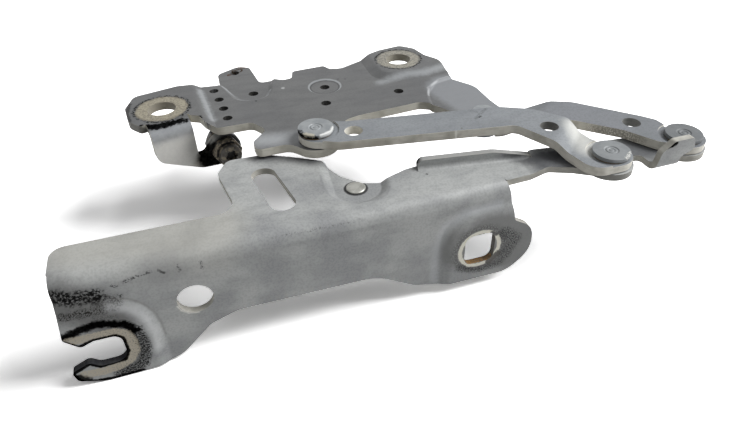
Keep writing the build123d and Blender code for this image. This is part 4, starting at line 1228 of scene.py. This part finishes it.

# Wear, grease and rust on the bracket, with painted shade, shadows and highlights among them
BRACKET_WEAR_AND_PAINTED_LIGHT = (
    Patch(((-160, 24, 30), (-112, 16, 30)), 15, "#b4b1a6", fade=8, strength=0.4),
    Patch(((-167, 1, 22), (-158, 1, 16), (-152, 0, 8)), 8.5, "#454544", fade=5, strength=0.9),
    Patch(((-146, 0, -6), (-152, 0, -18)), 5.5, "#525352", fade=3, strength=0.8),
    Patch(((-9, 0, 3), (16, 0, -5), (17, 0, 4), (3, 0, 8)), 11, "#737473", fade=4, strength=0.9,
          ragged=1.2),
    # Painted highlight: a pale band along the rear seat's left and upper rim
    Patch(((-20.5, 1.4, -15), (-20, 1.2, 4), (-16.6, 1.2, 15), (-8, 1.4, 20.6), (8, 1.4, 21.4)),
          2.0, "#dfe3e8", fade=2, strength=0.3),
    Patch((REAR_SEAT,), 13.2, "#3c3c3b", inner=9.8, fade=1.8, strength=0.9, broken=0.3, grain=1.6),
    Patch(((11.5, 0, 6), (17, 0, 1), (13, 0, -7)), 3.2, SOOT, broken=0.6, grain=1.3, fade=1.5,
          matt=True),
    Patch(((-9, 0, -9), (2, 0, -13), (11, 0, -11)), 1.8, SOOT, broken=0.55, grain=1.1, fade=1.5,
          matt=True),
    Patch((REAR_SEAT,), 10.3, "#f4f1e3", inner=8.35, ragged=0.25, fade=0.3, height=-0.1),
    Patch(((5.2, 0, 7.8), (7.4, 0, 6.2)), 1.0, "#2a2a29", ragged=0.3),
    Patch(((5.2, 0, -8.8), (9.2, 0, -5.4)), 1.7, "#35332f", ragged=0.5, grain=1.0),
    Patch(((-168.5, 1, 25), (-163, 1, 22), (-154, 1, 20.6)), 3.2, "#141414", ragged=1.2, grain=1.7,
          broken=0.3, fade=0.9, matt=True),
    Patch(((-158, 1, 20.6), (-150, 1, 17.6), (-147, 1, 17.4)), 1.6, "#242322", ragged=1.0,
          grain=1.3, broken=0.5, fade=1.2, matt=True),
    Patch(((-167, 1, 15.4), (-158, 1, 14.6), (-148, 1, 15)), 1.9, "#2b2a28", ragged=0.9, grain=1.2,
          broken=0.55, fade=0.8, matt=True),
    Patch(((-157, 0.5, 11.6), (-149.6, 0.5, 10.4)), 0.9, "#2b2a29", broken=0.45, grain=1.0,
          fade=0.8),
    # Painted highlight: a pale band along the front seat's right rim
    Patch(((-150.5, 1, 14.6), (-145.8, 1, 12.4), (-142, 1, 8.4), (-140, 1, 3), (-139.2, 1, -4),
           (-140, 1, -12)), 2.0, "#f6f8fa", fade=2.0, strength=0.25),
    # Painted shade: a thin dark line in the crease at the front seat's foot
    Patch(((-149, 1.9, 17.6), (-143.5, 1.9, 15.4), (-139.4, 1.9, 11.4), (-136.8, 1.9, 6),
           (-135.6, 1.9, 0), (-135.4, 1.9, -7)), 0.5, "#858583", ragged=0.1, fade=0.5,
          strength=0.6),
    Patch(((-144.6, 0, 1), (-143.8, 0, -10), (-146.4, 0, -18), (-156, 0, -21)), 2.4, "#141414",
          ragged=0.9, grain=1.5, broken=0.4, fade=0.9, matt=True),
    Patch(((-168.9, 0, 5.8), (-163.1, 0, 7.5), (-157.5, 0, 8.6), (-152.7, 0, 7.2),
           (-147.4, 0, 5.2), (-145.2, 0, 1)), 1.9, "#020202", ragged=0.8, grain=1.6, matt=True,
          fade=0.7, height=0.5),
    Patch(HOOK_BAND, 2.1, "#b9b1a0", ragged=0.35, grain=1.2, height=-0.1, broken=0.05),
    Patch(HOOK_RIM, 1.2, "#020202", ragged=0.2, grain=1.2, fade=0.3, matt=True),
    Patch(((-170.6, 0, -17), (-168, 0, -20)), 1.6, "#2b2a29", fade=0.9, grain=1.2, matt=True),
    Patch(HOOK_FOOT, 1.5, "#020202", ragged=0.3, grain=1.2, fade=0.3, matt=True),
    Patch(((-167.4, 2, 29), (-168.9, 2, 17)), 0.8, "#2b2b2a", broken=0.2, grain=1.4),
    Patch(((-143, 2, 24.1), (-139, 2, 25.2), (-133.6, 2, 26)), 0.6, "#1c1c1c", broken=0.55,
          grain=1.4, ragged=0.4),
    Patch(((-130.8, 2, 25.8), (-129.2, 2, 24.2)), 0.5, GREASE, ragged=0.3, grain=0.8),
    Patch(((-123.9, 2, 26.6), (-123.7, 2, 23.4)), 0.4, SOOT, broken=0.3, grain=0.8),
    Patch(((-148, 2, 23.6), (-146.2, 2, 22.6)), 0.6, SOOT, broken=0.4, grain=0.8),
    Patch(((-115.6, 2, 25.6), (-115.4, 2, 22.5)), 0.4, SOOT, broken=0.5, grain=0.8),
    Patch(((-88, 3.4, 28.9), (-74, 2.9, 28.2), (-52, 2.9, 28.4)), 0.6, "#585858", broken=0.6,
          grain=1.1, ragged=0.5),
    # Painted shadow: darker web left of the front bonnet pivot, along the lobe's far edge
    Patch(((-84, 59, 30), (-72, 56, 30), (-62, 49, 30)), 3.6, "#4b4c4f", fade=3.2, strength=0.8),
    # Painted shadow of the links on the bracket's arm
    Patch(((36, 10, 32), (50, 6, 32), (56, 3.5, 32), (70, 6, 32), (94, 6, 32)), 9, "#4e5053",
          fade=4, strength=0.95),
    # Painted shade: a thin dark line in the crease at the dish's foot
    Patch(((-60.8, 36, 30), (-61.6, 28, 30), (-60.6, 20, 30), (-57, 14.6, 30), (-51, 11.6, 30),
           (-44, 11, 30), (-38.4, 13, 30), (-35.4, 18, 30)), 0.4, "#808183", ragged=0.1, fade=0.5,
          strength=0.5),
    # Painted shade: a dark ring in the gap round the strut stud's peened end
    Patch(((-48.5, 24.1, 28),), 5.2, "#2b2b2c", inner=3.9, fade=0.3, ragged=0.1),
    # Painted shadow of the links on the arm, toward the lip
    Patch(((38, 12.4, 32), (28, 15.4, 32), (20, 23, 31.6)), 3.2, "#404245", fade=3, strength=0.9),
    Patch(((77.6, -9.2, 40.8), (79.9, -9.2, 41.4), (82, -9.2, 42.2)), 0.9, GREASE, ragged=0.35,
          grain=0.9, matt=True),
    Patch(((-17.4, 21.3, 30),), 0.6, "#5a5b5c", ragged=0.3, grain=0.8),
    Patch(((-128.1, 2, 6), (-127, 2, 3.4), (-124.6, 2, 1.3), (-121, 2, 0.5)), 0.4, "#f4f2ea",
          ragged=0.2, fade=0.4, strength=0.8),
)
# Grease, dirt and rust on the bracket's cut edges, with painted shade and shadows among them
BRACKET_EDGE_WEAR_AND_PAINTED_SHADE = (
    Patch(((-152, 1.5, 0.4), (-163, 1.5, -0.4), (-170, 1.5, 2)), 3.0, GREASE, matt=True),
    Patch(((-150.6, 1.5, -2), (-150.6, 1.5, -12), (-156, 1.5, -13.8), (-165, 1.5, -11.5),
           (-172, 1.5, -14)), 3.0, "#37383b", ragged=0.5, matt=True),
    Patch(((-171.8, 1.5, -18), (-162, 1.5, -22.5), (-146, 1.5, -23)), 3.2, GREASE, matt=True),
    Patch((REAR_SEAT,), 10.0, "#57554f"),
    Patch(((-4.4, 1.4, -7.8), (6.4, 1.4, -7.6)), 1.6, "#a57c45", broken=0.25, grain=0.9,
          height=0.5),
    # Painted shadow of the front link on the web's far edge at the lip's left end
    Patch(((-20, 30, 30), (-24, 27, 30)), 6.0, "#2c2c2c", fade=2),
    # Painted shadow on the lobe's far edge, left of the front bonnet pivot
    Patch(((-96, 60, 28), (-60, 48, 28)), 5.0, "#6b6a66", fade=2),
    # Painted shadow of the front link along the lip's edge
    Patch(((-19, 28.5, 34), (6, 24.8, 34), (31, 21.1, 33)), 3.4, "#8f9090", fade=1.2,
          strength=0.85),
    # Painted shade: a black corner where the lip rises from the web
    Patch(((-20.2, 28.6, 30), (-19.9, 28.4, 34)), 1.6, "#191919", fade=0.8, matt=True),
    # Painted shadow of the links on the arm's near edge
    Patch(((36, -2, 30.5), (50, -8, 30.5), (60, -10, 30.5), (68, -4, 30.5)), 5.5, "#63635f",
          fade=2.5, strength=0.8),
)
# Wear, grease and rust on the plate, with painted reflections, highlights and shade among them
PLATE_WEAR_AND_PAINTED_LIGHT = (
    # Painted reflection: a lighter bluish sheen on the eye tab beside the front bonnet pivot
    Patch(((-80, 64, 35.4), (-62, 60, 35.4), (-48, 62, 35.4)), 5.0, "#a2a5a8", fade=5,
          strength=0.85),
    # Painted reflection: a lighter bluish sheen over the sunk eye
    Patch(((22, 84, 34.4), (28, 58, 34.4)), 13, "#8b8e92", fade=3, strength=0.75),
    # Painted highlight on the rear pad's slope
    Patch(((-12, 101, 36.4), (4, 103.4, 36.4), (14, 102.8, 36.4), (27, 105.8, 36.4)), 2.4,
          "#b4b8bb", fade=2.4, strength=0.45),
    # Painted highlight on the front pad's slope
    Patch(((-102, 123, 36.4), (-100.6, 106, 36.4), (-99.4, 90, 36.4)), 1.5, "#b4b8bb", fade=1.5,
          strength=0.5),
    # Painted highlight on the rim of the plate eye's counterbore, and painted shade just inside it
    Patch((PLATE_EYE,), 8.7, "#b4b8bb", inner=7.9, fade=0.3, strength=0.6, ragged=0.1),
    Patch((PLATE_EYE,), 7.7, "#333435", inner=7.1, fade=0.3, strength=0.8, ragged=0.1),
    # Painted highlight along the sunk tab's crease
    Patch(((-90.6, 127, 35), (-87.6, 118.6, 35), (-83.8, 109, 35), (-76.8, 105.3, 35),
           (-71, 107.6, 35), (-67.6, 113.7, 35)), 0.7, "#a9adb0", fade=0.6, strength=0.6,
          ragged=0.1),
    # Painted highlight along the crease round the sunk eye
    Patch(((7.2, 79.7, 35), (9.6, 87.1, 35), (18, 93.8, 35), (24.4, 95.3, 35)), 0.6, "#b9bcbe",
          fade=0.5, strength=0.6, ragged=0.1),
    # Painted light: the ear flange lightened, as the plate's ground is painted darker than its lit
    # paint
    Patch(((-125.8, 87.5, 18), (-111.2, 91, 18)), 13.6, "#ecebe6", fade=3, ragged=1.2),
    # Painted reflection: a bluish lighter band on the ear's bend
    Patch(((-127, 87.2, 33), (-110, 91.4, 33)), 3.4, "#a4a7ab", fade=3, strength=0.8),
    Patch(((-107.2, 92.3, 12.5),), 5.0, "#7d776b", fade=3, strength=0.8),
    Patch(((-103.4, 93, 14.5), (-96, 94.7, 16.5)), 7.0, GREASE, fade=1.6, matt=True),
    Patch((FRONT_BOLT,), 13.9, "#1d1c1b", inner=12, fade=0.6, broken=0.35, strength=0.9,
          ragged=0.8, matt=True),
    Patch((FRONT_BOLT,), 12.5, "#7d776a", inner=6.2, grain=3.0, height=-0.1),
    Patch((FRONT_BOLT,), 11.8, "#9d9785", inner=6.4, grain=2.0, broken=0.4),
    Patch(((-131.5, 92.2, 36.8), (-124, 90.8, 37.2), (-114, 93, 37.2), (-105.5, 92, 37.2)), 1.7,
          GREASE, ragged=0.8, grain=1.7, matt=True, height=0.4),
    Patch(((-136.8, 99, 37.4), (-138, 107, 37.4), (-136.6, 117, 37.4)), 0.9, "#1e1d1c", ragged=0.5,
          grain=1.2),
    Patch(((-124, 88.4, 35.4), (-112, 91.6, 35.4)), 0.35, "#cdcabf", ragged=0.2, grain=1.0),
    Patch(((-81.4, 143.4, 34.2), (-79.4, 144, 34.2)), 2.2, "#3b2d1f", inner=1.2, strength=0.9,
          matt=True),
    Patch(((-79.6, 148.9, 34.2), (-76.4, 147.3, 34.2)), 1.3, RUST, broken=0.1, grain=1.1,
          matt=True),
    Patch(((-85.4, 140.4, 34.2), (-83.6, 140.9, 34.2)), 0.9, RUST, broken=0.1, grain=0.9,
          matt=True),
    Patch((REAR_BOLT,), 13.0, "#1b1a1a", inner=11.6, fade=0.5, broken=0.35, strength=0.9,
          ragged=0.7, matt=True),
    Patch((REAR_BOLT,), 12.0, "#75736d", inner=6.2, grain=3.0, height=-0.1),
    Patch((REAR_BOLT,), 11.4, "#9b978b", inner=6.4, grain=2.0, broken=0.4),
    Patch(((-76.6, 102.9, 35.4),), 0.5, GREASE, ragged=0.2, grain=0.8),
    Patch(((-27.9, 111.3, 35.4),), 0.45, SOOT, ragged=0.2, grain=0.8),
    Patch(((-31.4, 112.5, 35.4),), 0.5, SOOT, ragged=0.2, grain=0.8),
    Patch(((-61, 112.3, 35.4),), 0.9, "#a9abab", ragged=0.3, grain=1.0),
)
SMALL_HOLES = ((-95.3, 121.3), (-94, 110.8), (-93, 100.5), (-92.4, 90.2), (-82.1, 141.8),
               (-76.3, 113.7), (-44.1, 88.6), (-6, 88.3), (-40.1, 106.9))
# Grease and dirt on the plate's cut edges, with painted shade among them
PLATE_EDGE_WEAR_AND_PAINTED_SHADE = (
    # Painted shade: dark walls in the plate's small holes
    *(Patch(((x, y, 33.4),), 4.0, "#191919") for x, y in SMALL_HOLES),
    Patch(((-121.7, 107, 35.4),), 8.4, "#8a8476", strength=0.9),
    Patch(((5.5, 120.9, 35.4),), 8.4, "#8f8a7d", strength=0.9),
    Patch(((-138.9, 112.6, 35.4), (-137.6, 99.5, 35.4), (-131, 91, 34)), 3.4, "#34332f", fade=1.5,
          strength=0.85),
    Patch(((-101, 90, 14), (-88, 98, 17)), 11.0, GREASE, fade=2, matt=True),
)
FRONT_LINK_WEAR_AND_PAINTED_SHEEN = (
    # Painted highlight: a pale sheen on the joggle's slope
    Patch(((54.5, 22, 38.5), (51.6, 6.7, 38.5)), 5.0, "#dcdcd6", fade=4.5, strength=0.75),
    Patch(((14.6, 41.8, 40), (18, 45, 40), (23, 48.6, 40)), 0.8, "#4e5154", broken=0.6, grain=0.9,
          ragged=0.5),
    Patch(((15.6, 49.4, 40), (17.6, 47.4, 40)), 0.9, "#5d6063", broken=0.7, grain=0.9),
    Patch(((16.6, 42.4, 40), (17.6, 43, 40)), 0.4, GREASE, ragged=0.2, grain=0.8),
    Patch(((4.9, 36.2, 40), (4.5, 34.8, 39)), 0.35, "#5c5a55", ragged=0.1),
)
LINK_EDGE_WEAR_AND_PAINTED_SHADE = (
    Patch(((-29.6, 38.8, 35), (-29.8, 38.9, 40.2)), 0.9, "#2a2824", ragged=0.3, grain=1.0,
          matt=True),
    Patch(((1.8, 34.9, 35), (1.6, 34.7, 40.2)), 0.5, "#fbf9f1", ragged=0.1),
    Patch(((43.6, -6.6, 31), (43.6, -6.8, 37)), 0.6, "#fbf9f1", ragged=0.1),
    Patch(((75.2, 18.4, 30), (75.4, 18.6, 37)), 0.55, "#fbf9f1", ragged=0.1),
    Patch(((-57.6, 48.6, 35), (-57.4, 48.4, 40)), 0.45, "#fbf9f1", ragged=0.1),
    Patch(((-55.6, 47.6, 35), (-55.2, 47.4, 40)), 0.5, "#3a3833", ragged=0.1, matt=True),
    Patch(((-30, 41, 36), (-52, 45.5, 36)), 3.5, "#a19a8b", fade=2, strength=0.5),
    Patch(((62, 22, 34), (72, 18, 34), (86, 8, 34)), 4.0, "#857f74", fade=2, strength=0.7,
          broken=0.35, grain=1.5),
    # Painted shade: dark walls in a hole of the front link and a hole of the rear link
    Patch(((42.2, 24.5, 36),), 7.0, "#4c4e50", fade=1, strength=0.85),
    Patch(((82.6, 19.7, 34.5),), 7.0, "#55585a", fade=1, strength=0.8),
)
NUT_GREASE_AND_PAINTED_HIGHLIGHT = (
    # Beige ring on the lock nut's rim: partly dried grease, partly painted highlight on its
    # rounded corners
    Patch(((-94.8, 89.85, 16.5),), 7.2, "#9a907e", inner=6.4, fade=0.3, ragged=0.3, broken=0.15),
)
SCREW_RECESS_PAINTED_SHADE = (
    # Painted shade: the lobed recess in the screw's head painted black
    Patch(((-94.1, 86.8, 16.5),), 2.8, "#020202", fade=0.5, ragged=0.2),
)
PIN_MARKS = {
    "rear_bracket_pin": (
        Patch(((97, 2.6, 38),), 10, "#4c4f51", strength=0.7),
    ),
    "front_bonnet_pin": (
        Patch(((-64.3, 56.5, 40.4), (-63, 52.6, 40.4), (-61, 50.4, 40.4), (-58, 48.8, 39.8)), 1.2,
              GREASE, ragged=0.6, grain=1.1, matt=True),
        Patch(((-62.3, 52.6, 41.4), (-60, 50.8, 41.4)), 1.2, "#b9b4a4", ragged=0.5, grain=1.2,
              strength=0.8),
        Patch(((-49.4, 54.6, 41), (-51.4, 51.4, 41), (-56, 49.6, 41)), 0.8, "#e8e9e7", ragged=0.3,
              fade=0.5),
    ),
    "front_bracket_pin": (
        Patch(((58.6, 1, 40),), 10, "#606264", strength=0.35),
        Patch(((61, -6.2, 37.4), (65, -3.2, 37.4)), 0.8, "#d9d9d4", ragged=0.5, grain=1.0,
              broken=0.3),
    ),
}


def main() -> None:
    """Builds the hinge's pieces in order, then the studio."""
    logging.basicConfig(level=logging.INFO, format="%(name)s: %(message)s")
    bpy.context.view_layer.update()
    link_edge = ShearedEdge("blanked_edge_link", "#e9e6dc", "#b3afa3", LINK_EDGE_WEAR_AND_PAINTED_SHADE)
    Pressing("lower_bracket", Body.BRACKET, Slot.BRACKET_PAINT, 3.0,
             SatinPaint("satin_paint_bracket", "#adafae", "#8f9192", BRACKET_WEAR_AND_PAINTED_LIGHT),
             ShearedEdge("blanked_edge_bracket", "#bcbab2", "#8e8c84",
                         BRACKET_EDGE_WEAR_AND_PAINTED_SHADE)).build()
    # The plate's ground is darker than the bracket's: partly a darker paint, partly painted shade
    # for the dark reflection on its top
    Pressing("upper_plate", Body.BONNET_SIDE, Slot.PLATE_PAINT, 4.0,
             SatinPaint("satin_paint_plate", "#606161", "#595a5b", PLATE_WEAR_AND_PAINTED_LIGHT),
             ShearedEdge("blanked_edge_plate", "#dad7cc", "#a8a497",
                         PLATE_EDGE_WEAR_AND_PAINTED_SHADE)).build()
    Pressing("front_link", Body.FRONT_ARM, Slot.LINK_PAINT, 4.2,
             SatinPaint("satin_paint_front_link", "#868a8e", "#7b7f83", FRONT_LINK_WEAR_AND_PAINTED_SHEEN),
             link_edge, lies_flat=True).build()
    Pressing("rear_link", Body.REAR_ARM, Slot.LINK_PAINT, 4.2,
             SatinPaint("satin_paint_rear_link", "#797c81", "#707478"), link_edge,
             lies_flat=True).build()
    RivetPins(marks=PIN_MARKS).build()
    # The screw's worn finish also carries the painted shade in its recess
    worn = OiledBlackSteel("worn_black_steel_shaded_recess", "#4d4a45", "#938a79", SCREW_RECESS_PAINTED_SHADE)
    StopFasteners().build(worn.build(), OiledBlackSteel(patches=NUT_GREASE_AND_PAINTED_HIGHLIGHT).build())
    StrutStud().build(TurnedMetal("zinc_plated_stud", "#b4b4ae", "#85857f", metallic=0.6).build())
    bronze = TurnedMetal("oiled_bronze_bush", "#8a6f4a", "#5a4a36").build()
    steel = TurnedMetal("thrust_washer_steel", "#77787a", "#4c4c4e").build()
    for place in ("front_bracket", "rear_bracket", "front_bonnet", "rear_bonnet"):
        dress(place + "_bush", bronze)
        dress(place + "_washer", steel)
    Studio().build()


if __name__ == "__main__":
    main()
